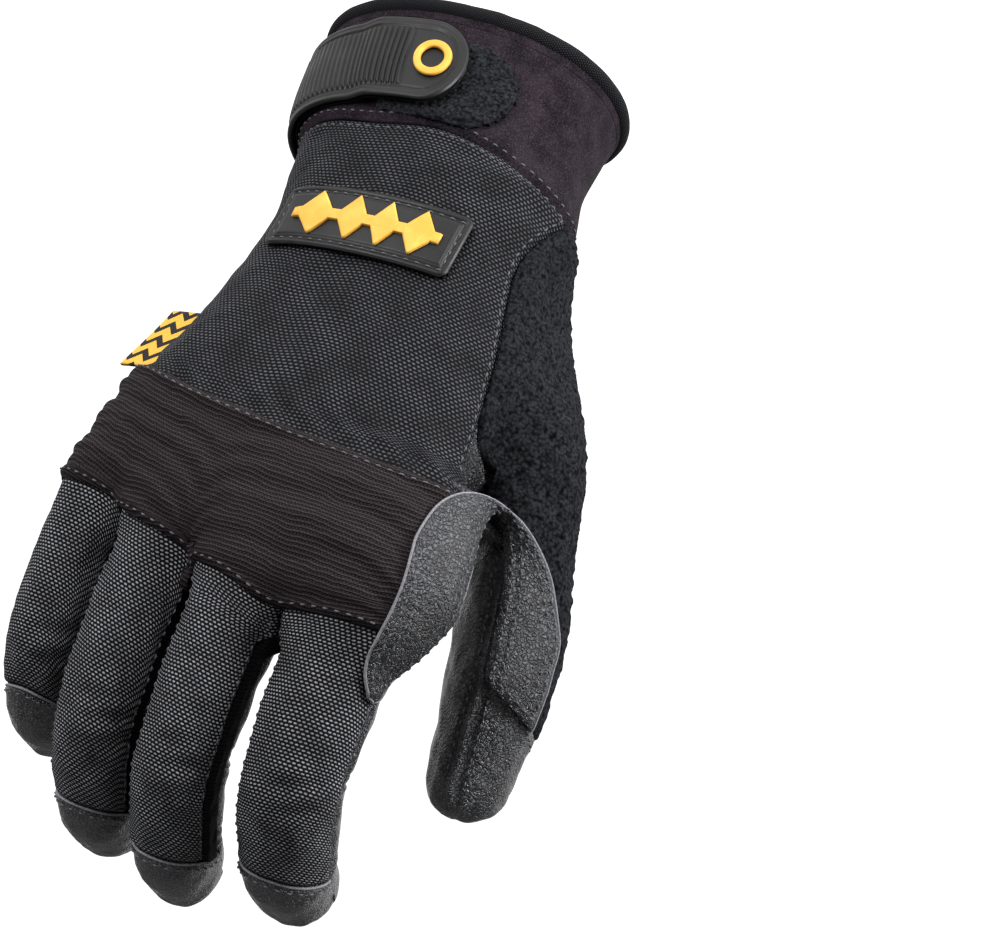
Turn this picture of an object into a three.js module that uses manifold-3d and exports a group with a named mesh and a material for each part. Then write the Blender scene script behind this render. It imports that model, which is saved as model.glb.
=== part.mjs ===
import * as THREE from 'three';
import Module from 'manifold-3d';

// Joins and cuts
const wasm = await Module();
wasm.setup();
const { Manifold, Mesh } = wasm;

// Named sizes in millimetres
const GAP = 0.35;
const HALF_GAP = GAP / 2;
const LEATHER = 1.3;
const WOVEN = 1.2;
const KNIT = 1.0;
const NEOPRENE = 2.2;
const TERRY = 2.0;
const BINDING_WIDTH = 4.5;
const BINDING_PROUD = 0.9;
const CROTCH_Z = 120;
const WEB_SAG = 3.5;
const PANEL_LAP = 1.6;
const BAND_THICK = 1.0;
const BAND_LIFT = GAP + 0.2;
const STRAP_THICK = 2.2;
const DEG = Math.PI / 180;

// Sections of the hand: height, centre x and y, half width, half depth, squareness
const SECTIONS = [
  { z: 0, x: 0.0, y: 0.0, a: 39.0, b: 29.0, n: 2.1 },
  { z: 14, x: -1.2, y: -3.5, a: 37.2, b: 27.0, n: 2.1 },
  { z: 30, x: -3.6, y: -8.0, a: 36.0, b: 24.5, n: 2.1 },
  { z: 48, x: -8.6, y: -11.5, a: 35.4, b: 22.0, n: 2.2 },
  { z: 66, x: -9.4, y: -13.0, a: 33.6, b: 20.0, n: 2.3 },
  { z: 91, x: -8.4, y: -14.5, a: 36.6, b: 18.5, n: 2.4 },
  { z: 116, x: -5.6, y: -16.0, a: 41.2, b: 17.0, n: 2.5 },
  { z: 141, x: -6.4, y: -17.5, a: 45.2, b: 14.8, n: 2.5 },
  { z: 168, x: -6.0, y: -19.0, a: 45.0, b: 12.5, n: 2.4 },
];

// The ball of the thumb in the same sections
const THENAR = [
  { z: 48, x: -24, y: -6, r: 14 },
  { z: 70, x: -33, y: -0.5, r: 16.5 },
  { z: 95, x: -45.5, y: 2.2, r: 16.5 },
  { z: 118, x: -53.2, y: 10, r: 14 },
  { z: 130, x: -55.2, y: 14, r: 13 },
];

// Fingers: wrist and knuckle points, bone lengths, lean, half widths, half depths, web heights
const FINGERS = {
  index: {
    wrist: [-19, -11, 50], knuckle: [-34, -16.5, 145], bones: [42.6, 24.8, 12.9], lean: 5.6,
    wide: [11.4, 10.9, 10.3, 9.3], deep: [12.2, 11.4, 10.4, 9.2], webs: [CROTCH_Z, 166],
  },
  middle: {
    wrist: [-11, -12, 50], knuckle: [-10.3, -17.8, 149], bones: [42.3, 25.3, 12.9], lean: 6.8,
    wide: [9.8, 9.4, 9.0, 8.1], deep: [12.4, 11.5, 10.5, 9.3], webs: [166, 159],
  },
  ring: {
    wrist: [-2, -12, 50], knuckle: [10.3, -17.8, 144], bones: [42.3, 25.6, 12.3], lean: 7.4,
    wide: [10.3, 10.0, 9.5, 8.5], deep: [12.0, 11.2, 10.2, 9.0], webs: [159, 154],
  },
  little: {
    wrist: [9, -11, 50], knuckle: [29.6, -17, 135], bones: [37.5, 21.4, 11.2], lean: 9.2,
    wide: [9.6, 9.0, 8.6, 7.8], deep: [11.2, 10.3, 9.4, 8.3], webs: [154, 154],
  },
};
const BENDS = [26, 35.5, 24.5];

// Thumb: points of its centre line, half widths and half depths there
const THUMB = [
  { p: [-33, -4, 50], wide: 15, deep: 14 },
  { p: [-34, 0, 72], wide: 15, deep: 14 },
  { p: [-46.5, 2.4, 97], wide: 14.1, deep: 13.6 },
  { p: [-54.2, 10.7, 120], wide: 12.6, deep: 12 },
  { p: [-58, 19, 144], wide: 11.7, deep: 10.9 },
  { p: [-57, 29.5, 164.7], wide: 9.2, deep: 8.7 },
];
const THUMB_TURN = -42 * DEG;

// Smooth curve through a table
function curve(ts, vs, t) {
  const last = ts.length - 1;
  const tc = Math.min(Math.max(t, ts[0]), ts[last]);
  let i = 0;
  while (i < last - 1 && tc >= ts[i + 1]) i += 1;
  const slope = (k) => {
    const lo = Math.max(k - 1, 0);
    const hi = Math.min(k + 1, last);
    return (vs[hi] - vs[lo]) / (ts[hi] - ts[lo]);
  };
  const h = ts[i + 1] - ts[i];
  const u = (tc - ts[i]) / h;
  const m0 = slope(i);
  const m1 = slope(i + 1);
  const v = vs[i] * (2 * u ** 3 - 3 * u ** 2 + 1) + m0 * h * (u ** 3 - 2 * u ** 2 + u)
    + vs[i + 1] * (3 * u ** 2 - 2 * u ** 3) + m1 * h * (u ** 3 - u ** 2);
  if (t > ts[last]) return v + (t - ts[last]) * slope(last);
  if (t < ts[0]) return v + (t - ts[0]) * slope(0);
  return v;
}

function column(table, key) {
  return table.map((row) => row[key]);
}

function tableCurve(table, key, z) {
  return curve(column(table, 'z'), column(table, key), z);
}

function smoothMin(a, b, k) {
  const h = Math.min(Math.max(0.5 + (0.5 * (b - a)) / k, 0), 1);
  return b * (1 - h) + a * h - k * h * (1 - h);
}

function ease(v) {
  const u = Math.min(Math.max(v, 0), 1);
  return u * u * (3 - 2 * u);
}

// Signed distance, nearly, to the outline of the hand at one height
function outline(z) {
  const s = {};
  for (const key of ['x', 'y', 'a', 'b', 'n']) s[key] = tableCurve(SECTIONS, key, z);
  const t = {};
  for (const key of ['x', 'y', 'r']) t[key] = tableCurve(THENAR, key, z);
  const joined = z > 46 && z <= CROTCH_Z + 0.001;
  const k = 4 + 8 * Math.min(Math.max((CROTCH_Z - z) / 30, 0), 1);
  return (x, y) => {
    const ax = Math.abs((x - s.x) / s.a) + 1e-6;
    const ay = Math.abs((y - s.y) / s.b) + 1e-6;
    const rho = (ax ** s.n + ay ** s.n) ** (1 / s.n);
    const gx = (ax ** (s.n - 1) / s.a) * rho ** (1 - s.n);
    const gy = (ay ** (s.n - 1) / s.b) * rho ** (1 - s.n);
    const f = (rho - 1) / Math.hypot(gx, gy);
    if (!joined) return f;
    return smoothMin(f, Math.hypot(x - t.x, y - t.y) - t.r, k);
  };
}

// Distance from a point inside the outline to its edge in one direction
function reach(px, py, dx, dy, z) {
  const f = outline(z);
  const step = 1.6;
  let lo = step;
  while (lo < 76 && f(px + dx * (lo + step), py + dy * (lo + step)) < 0) lo += step;
  let hi = lo + step;
  for (let i = 0; i < 14; i += 1) {
    const m = (lo + hi) / 2;
    if (f(px + dx * m, py + dy * m) < 0) lo = m;
    else hi = m;
  }
  return (lo + hi) / 2;
}

const V = (x, y, z) => new THREE.Vector3(x, y, z);
const UP = V(0, 0, 1);

// One finger or thumb with the part of the hand below it
class Ray {
  constructor(name, knots, wide, deep, webs, turnLength, side) {
    this.name = name;
    this.webs = webs;
    this.knots = knots;
    this.wide = wide;
    this.deep = deep;
    this.side = side;
    this.turnLength = turnLength;
    this.stations = [0];
    for (let i = 1; i < knots.length; i += 1) {
      this.stations.push(this.stations[i - 1] + knots[i].distanceTo(knots[i - 1]));
    }
    this.end = this.stations[knots.length - 1];
    this.turn = this.stationAt(Math.max(...webs));
  }

  point(t) {
    const get = (k) => curve(this.stations, this.knots.map((q) => q[k]), t);
    return V(get('x'), get('y'), get('z'));
  }

  stationAt(z) {
    let lo = -16;
    let hi = this.end * 0.75;
    for (let i = 0; i < 30; i += 1) {
      const m = (lo + hi) / 2;
      if (this.point(m).z < z) lo = m;
      else hi = m;
    }
    return (lo + hi) / 2;
  }

  frame(t) {
    const tc = Math.min(t, this.end);
    const along = this.point(Math.min(tc + 0.5, this.end)).sub(this.point(tc - 0.5)).normalize();
    const w = ease((tc - this.turn) / this.turnLength);
    const n = UP.clone().multiplyScalar(1 - w).addScaledVector(along, w).normalize();
    const s = this.side.clone().addScaledVector(n, -this.side.dot(n)).normalize();
    const b = s.clone().cross(n);
    const over = Math.max(t - this.end, 0);
    return { p: this.point(tc).addScaledVector(along, over), s, b, n, over, along };
  }

  // Half widths blend from the hand's outline to an oval around the finger
  radius(t, u, f) {
    const tc = Math.min(t, this.end);
    const a = curve(this.stations, this.wide, tc);
    const b = curve(this.stations, this.deep, tc);
    const oval = ((Math.abs(Math.sin(u)) / a) ** 2.2 + (Math.abs(Math.cos(u)) / b) ** 2.2) ** (-1 / 2.2);
    const dome = Math.sqrt(Math.max(1 - (f.over / this.domeHeight()) ** 2, 0));
    if (t > this.turn + 0.01) return oval * dome;
    const backShare = 0.5 + 0.5 * Math.cos(u);
    const blend = this.name === 'thumb' ? 22 : 10 + 18 * backShare;
    const web = lerp(this.webs[0], this.webs[1], 0.5 + 0.5 * Math.sin(u));
    const w = ease((f.p.z - web + blend) / blend);
    const dx = f.s.x * Math.sin(u) + f.b.x * Math.cos(u);
    const dy = f.s.y * Math.sin(u) + f.b.y * Math.cos(u);
    return reach(f.p.x, f.p.y, dx, dy, f.p.z) * (1 - w) + oval * w;
  }

  domeHeight() {
    return 0.95 * this.deep[this.deep.length - 1];
  }

  tip() {
    return this.end + this.domeHeight();
  }

  surface(t, u) {
    const f = this.frame(t);
    const r = this.radius(t, u, f);
    return f.p.clone().addScaledVector(f.s, r * Math.sin(u)).addScaledVector(f.b, r * Math.cos(u));
  }

  at(t, u) {
    const p = this.surface(t, u);
    if (t > this.tip() - 0.3) return { p, n: this.frame(this.end).along };
    const du = this.surface(t, u + 0.03).sub(this.surface(t, u - 0.03));
    const lo = t - 0.35;
    const hi = Math.min(t + 0.35, t > this.turn ? this.tip() : this.turn);
    const dt = this.surface(hi, u).sub(this.surface(lo, u));
    const n = du.cross(dt).normalize();
    const f = this.frame(t);
    if (n.dot(p.clone().sub(f.p).addScaledVector(f.along, f.over + 0.01)) < 0) n.negate();
    return { p, n };
  }
}

function fingerRay(name) {
  const q = FINGERS[name];
  const wrist = V(...q.wrist);
  const knuckle = V(...q.knuckle);
  const knots = [wrist, wrist.clone().lerp(knuckle, 0.45), wrist.clone().lerp(knuckle, 0.8), knuckle];
  let bend = 0;
  q.bones.forEach((bone, i) => {
    bend += BENDS[i] * DEG;
    const d = V(
      Math.sin(q.lean * DEG) * Math.cos(bend * 0.5),
      Math.sin(bend),
      Math.cos(bend) * Math.cos(q.lean * DEG),
    ).normalize();
    knots.push(knots[knots.length - 1].clone().addScaledVector(d, bone));
  });
  const wide = [q.wide[0], q.wide[0], q.wide[0], ...q.wide];
  const deep = [q.deep[0], q.deep[0], q.deep[0], ...q.deep];
  const webs = name === 'index' ? [q.webs[1], q.webs[1]] : q.webs;
  return new Ray(name, knots, wide, deep, webs, 22, V(1, 0, 0));
}

const RAYS = {};
for (const name of Object.keys(FINGERS)) RAYS[name] = fingerRay(name);
RAYS.thumb = new Ray(
  'thumb',
  THUMB.map((row) => V(...row.p)),
  column(THUMB, 'wide'),
  column(THUMB, 'deep'),
  [CROTCH_Z, CROTCH_Z],
  20,
  V(Math.cos(THUMB_TURN), Math.sin(THUMB_TURN), 0),
);

// Dividing planes between neighbours, each with a back line and a palm line
const THUMB_DIVIDE = [
  { z: 46, backX: -43.5, backY: -17, palmX: -14, palmY: 8 },
  { z: 64, backX: -39.5, backY: -24, palmX: -27, palmY: 7 },
  { z: 88, backX: -43, backY: -22.5, palmX: -29, palmY: 8 },
  { z: 118, backX: -46, backY: -20.5, palmX: -42, palmY: 4 },
];

function divide(left, right, z) {
  if (left === 'thumb') {
    const a = V(tableCurve(THUMB_DIVIDE, 'backX', z), tableCurve(THUMB_DIVIDE, 'backY', z), z);
    const c = V(tableCurve(THUMB_DIVIDE, 'palmX', z), tableCurve(THUMB_DIVIDE, 'palmY', z), z);
    const m = c.clone().sub(a).cross(UP).normalize();
    if (m.x > 0) m.negate();
    return { a, m };
  }
  const x = (RAYS[left].point(RAYS[left].stationAt(z)).x + RAYS[right].point(RAYS[right].stationAt(z)).x) / 2;
  return { a: V(x, 0, z), m: V(-1, 0, 0) };
}

const ORDER = ['thumb', 'index', 'middle', 'ring', 'little'];

function neighbour(name, sign) {
  return ORDER[ORDER.indexOf(name) + sign];
}

// Angle where a ray's surface meets the dividing plane, on the back or palm side
function corner(name, sign, z, palm, from, stop) {
  const other = neighbour(name, sign);
  const plane = sign < 0 ? divide(other, name, z) : divide(name, other, z);
  const toward = plane.m.clone().multiplyScalar(sign < 0 ? 1 : -1);
  const ray = RAYS[name];
  const t = ray.stationAt(z);
  const f = ray.frame(t);
  const d = toward.dot(plane.a.clone().sub(f.p));
  const excess = (u) => {
    const dir = f.s.clone().multiplyScalar(Math.sin(u)).addScaledVector(f.b, Math.cos(u));
    const c = dir.dot(toward);
    if (c <= 0.02) return -1;
    return ray.radius(t, u, f) - d / c;
  };
  const steps = 24;
  let lo = from;
  let hi = stop;
  for (let i = 1; i <= steps; i += 1) {
    const u = from + ((stop - from) * i) / steps;
    if (excess(u) >= 0) {
      hi = u;
      lo = from + ((stop - from) * (i - 1)) / steps;
      for (let k = 0; k < 18; k += 1) {
        const m = (lo + hi) / 2;
        if (excess(m) >= 0) hi = m;
        else lo = m;
      }
      break;
    }
  }
  return { u: hi, radius: Math.max(ray.radius(t, hi, f), 4) };
}

// A sheet of vertices with outward directions, closed to a solid of one thickness
class Sheet {
  constructor() {
    this.points = [];
    this.normals = [];
    this.faces = [];
    this.index = new Map();
  }

  vertex(q) {
    const key = [q.p.x, q.p.y, q.p.z].map((v) => Math.round(v * 50)).join(',');
    if (!this.index.has(key)) {
      this.index.set(key, this.points.length);
      this.points.push(q.p.clone());
      this.normals.push(V(0, 0, 0));
    }
    const i = this.index.get(key);
    this.normals[i].add(q.n);
    return i;
  }

  face(a, b, c) {
    if (a === b || b === c || c === a) return;
    this.faces.push([a, b, c]);
  }

  grid(rows) {
    const ids = rows.map((row) => row.map((q) => this.vertex(q)));
    for (let i = 0; i + 1 < ids.length; i += 1) {
      for (let j = 0; j + 1 < ids[i].length; j += 1) {
        this.face(ids[i][j], ids[i][j + 1], ids[i + 1][j + 1]);
        this.face(ids[i][j], ids[i + 1][j + 1], ids[i + 1][j]);
      }
    }
    return this;
  }

  solid(depth, outset = 0) {
    const n = this.points.length;
    const unit = this.normals.map((v) => v.clone().normalize());
    const outer = this.points.map((p, i) => p.clone().addScaledVector(unit[i], outset));
    const inner = this.points.map((p, i) => p.clone().addScaledVector(unit[i], outset - depth));
    const verts = outer.concat(inner);
    const tris = [];
    const edges = new Map();
    let sense = 0;
    for (const [a, b, c] of this.faces) {
      const ab = this.points[b].clone().sub(this.points[a]);
      const ac = this.points[c].clone().sub(this.points[a]);
      sense += Math.sign(ab.cross(ac).dot(unit[a]));
    }
    for (const face of this.faces) {
      const [a, b, c] = sense >= 0 ? face : [face[0], face[2], face[1]];
      tris.push([a, b, c], [n + a, n + c, n + b]);
      for (const [p, q] of [[a, b], [b, c], [c, a]]) edges.set(`${p},${q}`, [p, q]);
    }
    for (const [p, q] of edges.values()) {
      if (!edges.has(`${q},${p}`)) tris.push([p, n + p, n + q], [p, n + q, q]);
    }
    return toManifold(verts, tris);
  }
}

function toManifold(verts, tris) {
  const vertProperties = new Float32Array(verts.length * 3);
  verts.forEach((v, i) => vertProperties.set([v.x, v.y, v.z], i * 3));
  const triVerts = new Uint32Array(tris.flat());
  const mesh = new Mesh({ numProp: 3, vertProperties, triVerts });
  mesh.merge();
  return new Manifold(mesh);
}

function lerp(a, b, v) {
  return a + (b - a) * v;
}

function spread(n) {
  return Array.from({ length: n + 1 }, (_, i) => i / n);
}

// Surface of the hand around its own centre line: angle 0 faces the back, 90 the little finger side
function ringPoint(z, th) {
  const cx = tableCurve(SECTIONS, 'x', z);
  const cy = tableCurve(SECTIONS, 'y', z);
  const dx = Math.sin(th);
  const dy = -Math.cos(th);
  const r = reach(cx, cy, dx, dy, z);
  return V(cx + dx * r, cy + dy * r, z);
}

function ringAt(z, th) {
  const p = ringPoint(z, th);
  const dz = ringPoint(z + 0.4, th).sub(ringPoint(z - 0.4, th));
  const dth = ringPoint(z, th + 0.02).sub(ringPoint(z, th - 0.02));
  return { p, n: dth.cross(dz).normalize() };
}

function ringAngle(p) {
  const cx = tableCurve(SECTIONS, 'x', p.z);
  const cy = tableCurve(SECTIONS, 'y', p.z);
  return Math.atan2(p.x - cx, cy - p.y);
}

// Seams around the wrist and across the back: angle in degrees against height
const CUFF_SEAM = [
  { th: -180, z: 47 }, { th: -135, z: 47.5 }, { th: -80, z: 46.5 }, { th: -48, z: 41.5 },
  { th: -13, z: 39 }, { th: 29, z: 40.5 }, { th: 63, z: 39.5 }, { th: 110, z: 42 }, { th: 180, z: 47 },
];
const BAND_TOP = [
  { th: -95, z: 121.2 }, { th: -68, z: 124 }, { th: -42, z: 123.5 }, { th: 15, z: 121.5 },
  { th: 53, z: 118.5 }, { th: 78, z: 112 }, { th: 96, z: 110 },
];
const BAND_LOW = [
  { th: -95, z: 156.5 }, { th: -67, z: 159 }, { th: -6, z: 156.5 }, { th: 40, z: 154 },
  { th: 68, z: 149.5 }, { th: 78, z: 144.5 }, { th: 96, z: 141.5 },
];
const ULNAR_SEAM = 94;

function seam(table, th) {
  return curve(column(table, 'th'), column(table, 'z'), th / DEG);
}

// Edges of the finger panels, in degrees from the back of each finger
const EDGES = {
  thumb: { low: -90, high: 42, palmLow: -90, palmHigh: 42 },
  index: { low: -88, high: 66, palmLow: -88, palmHigh: 104 },
  middle: { low: -66, high: 66, palmLow: -104, palmHigh: 104 },
  ring: { low: -66, high: 66, palmLow: -104, palmHigh: 104 },
  little: { low: -66, high: ULNAR_SEAM, palmLow: -104, palmHigh: ULNAR_SEAM },
};

function webHeight(name, sign) {
  if (name === 'thumb') return sign > 0 ? CROTCH_Z : null;
  if (name === 'little' && sign > 0) return null;
  return FINGERS[name].webs[sign < 0 ? 0 : 1];
}

// Where the surfaces of two neighbours meet on their dividing plane
const sharedCorners = new Map();
const BACK_SCAN = { from: 5, stop: 84 };
const PALM_SCAN = { from: 180, stop: 97 };

function ownCorner(name, sign, z, palm) {
  const scan = palm ? PALM_SCAN : BACK_SCAN;
  return corner(name, sign, z, palm, sign * scan.from * DEG, sign * scan.stop * DEG);
}

function sharedCorner(left, right, z, palm) {
  const key = [left, z.toFixed(3), palm].join();
  if (!sharedCorners.has(key)) {
    const a = RAYS[left].at(RAYS[left].stationAt(z), ownCorner(left, 1, z, palm).u);
    const b = RAYS[right].at(RAYS[right].stationAt(z), ownCorner(right, -1, z, palm).u);
    const plane = divide(left, right, z);
    const p = a.p.clone().add(b.p).multiplyScalar(0.5);
    p.addScaledVector(plane.m, plane.a.clone().sub(p).setZ(0).dot(plane.m));
    sharedCorners.set(key, { p, n: a.n.clone().add(b.n).normalize(), m: plane.m });
  }
  return sharedCorners.get(key);
}

// Edge of a back or palm panel: its angle, and the shared corner where there is one
function edge(name, sign, t, palm, grow) {
  const ray = RAYS[name];
  const e = EDGES[name];
  const web = webHeight(name, sign);
  const f = ray.frame(t);
  if (web !== null && t <= ray.stationAt(web - WEB_SAG) + 0.01) {
    const z = f.p.z;
    const pair = sign < 0 ? [neighbour(name, -1), name] : [name, neighbour(name, 1)];
    const shared = sharedCorner(...pair, z, palm);
    const p = shared.p.clone();
    if (!palm) p.addScaledVector(shared.m, -sign * grow);
    return { u: ownCorner(name, sign, z, palm).u, shared: { p, n: shared.n } };
  }
  const keys = palm ? ['palmLow', 'palmHigh'] : ['low', 'high'];
  const u = e[keys[sign < 0 ? 0 : 1]] * DEG;
  const r = Math.max(ray.radius(t, u, f), 3);
  return { u: u + (palm ? -sign : sign) * (grow / r), shared: null };
}

// Rows of a palm panel of one ray, from the cuff seam to the tip
const PALM_HEIGHTS = [58, 70, 82, 94, 106, CROTCH_Z - WEB_SAG, CROTCH_Z, 130, 140, 146];
const WEB_HEIGHTS = [154 - WEB_SAG, 154, 159 - WEB_SAG, 159, 166 - WEB_SAG, 166];
const FINGER_STEP = 9;
const GUSSET_END = 9;
const CAP_SEAM = { index: -17.5, middle: -18.5, ring: -19, little: -22.5 };

function fingerStations(name) {
  const ray = RAYS[name];
  const first = ray.stationAt(topWeb(name));
  const last = ray.end - GUSSET_END;
  const n = Math.round((last - first) / FINGER_STEP);
  return spread(n).slice(1).map((v) => lerp(first, last, v));
}

// Seam of the leather tip: nearer the palm it runs closer to the tip
function capSeam(name, u) {
  const ray = RAYS[name];
  const side = Math.cos(EDGES[name].palmHigh * DEG);
  const share = Math.min((1 - Math.cos(u)) / (1 - side), 1);
  return ray.end + lerp(CAP_SEAM[name], -GUSSET_END, share);
}

function domeStations(ray) {
  const list = [ray.end];
  for (const deg of [35, 62]) list.push(ray.end + ray.domeHeight() * Math.sin(deg * DEG));
  list.push(ray.tip());
  return list;
}

function topWeb(name) {
  return Math.max(webHeight(name, -1) ?? 0, webHeight(name, 1) ?? 0);
}

// Shared corner where it meets the cuff seam
function cuffCorner(name, sign, palm, grow) {
  const pair = sign < 0 ? [neighbour(name, -1), name] : [name, neighbour(name, 1)];
  let z = 47;
  for (let i = 0; i < 5; i += 1) z = seam(CUFF_SEAM, ringAngle(sharedCorner(...pair, z, palm).p)) - grow;
  return sharedCorner(...pair, z, palm);
}

function palmRow(name, t, cols, grow, stationOf) {
  const ray = RAYS[name];
  const margin = t > ray.end - GUSSET_END - 0.01 ? 0 : grow;
  const lo = edge(name, -1, t, true, margin);
  const hi = edge(name, 1, t, true, margin);
  const u0 = (lo.u > 0 ? lo.u - 2 * Math.PI : lo.u) + 2 * Math.PI;
  return spread(cols).map((w) => {
    if (w === 0 && hi.shared) return stationOf ? cuffCorner(name, 1, true, grow) : hi.shared;
    if (w === 1 && lo.shared) return stationOf ? cuffCorner(name, -1, true, grow) : lo.shared;
    const u = lerp(hi.u, u0, w);
    return ray.at(stationOf ? stationOf(u) : t, u);
  });
}

function palmRows(name, cols, grow) {
  const ray = RAYS[name];
  const top = topWeb(name);
  const start = ray.stationAt(47);
  const base = (u) => ray.stationAt(seam(CUFF_SEAM, ringAngle(ray.surface(start, u))) - grow);
  const rows = [palmRow(name, start, cols, grow, base)];
  for (const z of PALM_HEIGHTS.concat(WEB_HEIGHTS)) {
    if (z <= top + 0.01) rows.push(palmRow(name, ray.stationAt(z), cols, grow));
  }
  for (const t of fingerStations(name).concat(domeStations(ray))) {
    rows.push(palmRow(name, t, cols, grow));
  }
  return rows;
}

// Leather tip over the end of a finger, joined to the palm panel along both sides
function capRows(name, cols, grow) {
  const ray = RAYS[name];
  const e = EDGES[name];
  const row = (stationOf) => spread(cols).map((w) => {
    const u = lerp(e.palmLow, e.palmHigh, w) * DEG;
    return ray.at(stationOf(u, w === 0 || w === 1), u);
  });
  const rows = [row((u, side) => capSeam(name, u) - (side ? 0 : grow))];
  for (const t of domeStations(ray)) rows.push(row(() => t));
  return rows;
}

const FINGER_NAMES = ['index', 'middle', 'ring', 'little'];
const PALM_COLUMNS = { thumb: 8, index: 6, middle: 5, ring: 5, little: 6 };

function palmSheet(grow) {
  const sheet = new Sheet();
  const rows = {};
  for (const name of ORDER) {
    rows[name] = palmRows(name, PALM_COLUMNS[name], grow);
    sheet.grid(rows[name]);
  }
  for (const name of FINGER_NAMES) sheet.grid(capRows(name, 6, grow));
  const at = PALM_HEIGHTS.indexOf(CROTCH_Z) + 1;
  const fromIndex = rows.index[at][PALM_COLUMNS.index];
  const fromThumb = rows.thumb[at][0];
  const z = CROTCH_Z - WEB_SAG;
  const palmCorner = sharedCorner('thumb', 'index', z, true);
  const back = sharedCorner('thumb', 'index', z, false);
  const inset = back.p.clone().lerp(palmCorner.p, 0.12);
  const backCorner = { p: inset, n: back.n.clone().add(UP).normalize() };
  const saddle = { p: inset.clone().lerp(palmCorner.p, 0.5).setZ(z + 0.4), n: UP };
  sheet.grid([[palmCorner, fromThumb, backCorner], [palmCorner, saddle, backCorner]]);
  sheet.grid([[palmCorner, saddle, backCorner], [palmCorner, fromIndex, backCorner]]);
  return sheet;
}

// Shared corner at the height where it meets a seam
function cornerOnSeam(name, sign, heightAt) {
  const pair = sign < 0 ? [neighbour(name, -1), name] : [name, neighbour(name, 1)];
  let z = 145;
  for (let i = 0; i < 5; i += 1) z = heightAt(sharedCorner(...pair, z, false).p);
  return sharedCorner(...pair, z, false);
}

function shifted(q, sign, grow) {
  return { p: q.p.clone().addScaledVector(q.m, -sign * grow), n: q.n };
}

// Back panel of one finger, from under the knuckle band to the tip seam
function fingerBackRows(name, cols, grow) {
  const ray = RAYS[name];
  const row = (stationOf, ends) => {
    const t0 = stationOf(0);
    const lo = edge(name, -1, t0, false, grow);
    const hi = edge(name, 1, t0, false, grow);
    const first = ends ? ends[0] : lo.shared;
    const last = ends ? ends[1] : hi.shared;
    return spread(cols).map((w) => {
      if (w === 0 && first) return first;
      if (w === 1 && last) return last;
      const u = lerp(lo.u, hi.u, w);
      return ray.at(stationOf(u), u);
    });
  };
  const startAt = (p) => seam(BAND_LOW, ringAngle(p)) - PANEL_LAP - grow;
  const startHeight = (u) => {
    let z = 150;
    for (let i = 0; i < 4; i += 1) z = startAt(ray.surface(ray.stationAt(z), u));
    return z;
  };
  const ends = [-1, 1].map((sign) => {
    if ((name === 'index' && sign < 0) || (name === 'little' && sign > 0)) return null;
    return shifted(cornerOnSeam(name, sign, startAt), sign, grow);
  });
  const rows = [row((u) => ray.stationAt(startHeight(u)), ends)];
  const top = topWeb(name);
  for (const z of WEB_HEIGHTS) {
    if (z > startHeight(0) + 3 && z <= top + 0.01) rows.push(row(() => ray.stationAt(z)));
  }
  for (const t of fingerStations(name)) {
    rows.push(row((u) => Math.min(t, capSeam(name, u) + grow)));
  }
  return rows;
}

// Strip between two fingers: down the side of one, across the web and up the other
function gussetRows(left, right, grow) {
  const web = webHeight(left, 1);
  const sideRow = (name, sign, stationOf) => {
    const ray = RAYS[name];
    const e = EDGES[name];
    const r = 10;
    const u0 = e[sign > 0 ? 'high' : 'low'] * DEG - (sign * grow) / r;
    const u1 = e[sign > 0 ? 'palmHigh' : 'palmLow'] * DEG + (sign * grow) / r;
    return spread(2).map((w) => {
      const u = lerp(u0, u1, w);
      return ray.at(stationOf(u), u);
    });
  };
  const side = (name, sign) => {
    const ray = RAYS[name];
    const heights = WEB_HEIGHTS.filter((z) => z > web - 0.01 && z <= topWeb(name) + 0.01);
    const list = heights.map((z) => ray.stationAt(z)).concat(fingerStations(name));
    return list.map((t) => sideRow(name, sign, (u) => Math.min(t, capSeam(name, u) + grow)));
  };
  const z = web - WEB_SAG;
  const a = sharedCorner(left, right, z, false).p;
  const b = sharedCorner(left, right, z, true).p;
  const inset = (GAP + WOVEN - HALF_GAP - grow) / a.distanceTo(b);
  const middle = spread(2).map((w) => ({ p: a.clone().lerp(b, lerp(inset, 1 - inset, w)), n: UP }));
  return [...side(left, 1).reverse(), middle, ...side(right, -1)];
}

// Knuckle band: one strip over each finger's knuckle, joined at the grooves
function bandHeight(p, v, grow) {
  const th = ringAngle(p);
  return lerp(seam(BAND_TOP, th) - grow, seam(BAND_LOW, th) + grow, v);
}

function bandSheet(grow) {
  const sheet = new Sheet();
  for (const name of FINGER_NAMES) {
    const ray = RAYS[name];
    const cornerAt = (sign, v) => cornerOnSeam(name, sign, (p) => bandHeight(p, v, grow));
    const rows = spread(4).map((v) => {
      const lo = name === 'index' ? null : cornerAt(-1, v);
      const hi = name === 'little' ? null : cornerAt(1, v);
      const zMid = lerp(122, 155, v);
      const t = ray.stationAt(zMid);
      const r = ray.radius(t, 0, ray.frame(t));
      const u0 = lo ? ownCorner(name, -1, zMid, false).u : EDGES.index.low * DEG - grow / r;
      const u1 = hi ? ownCorner(name, 1, zMid, false).u : EDGES.little.high * DEG + grow / r;
      return spread(4).map((w) => {
        if (w === 0 && lo) return lo;
        if (w === 1 && hi) return hi;
        const u = lerp(u0, u1, w);
        let z = zMid;
        for (let i = 0; i < 4; i += 1) z = bandHeight(ray.surface(ray.stationAt(z), u), v, grow);
        return ray.at(ray.stationAt(z), u);
      });
    });
    sheet.grid(rows);
  }
  return sheet;
}

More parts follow.
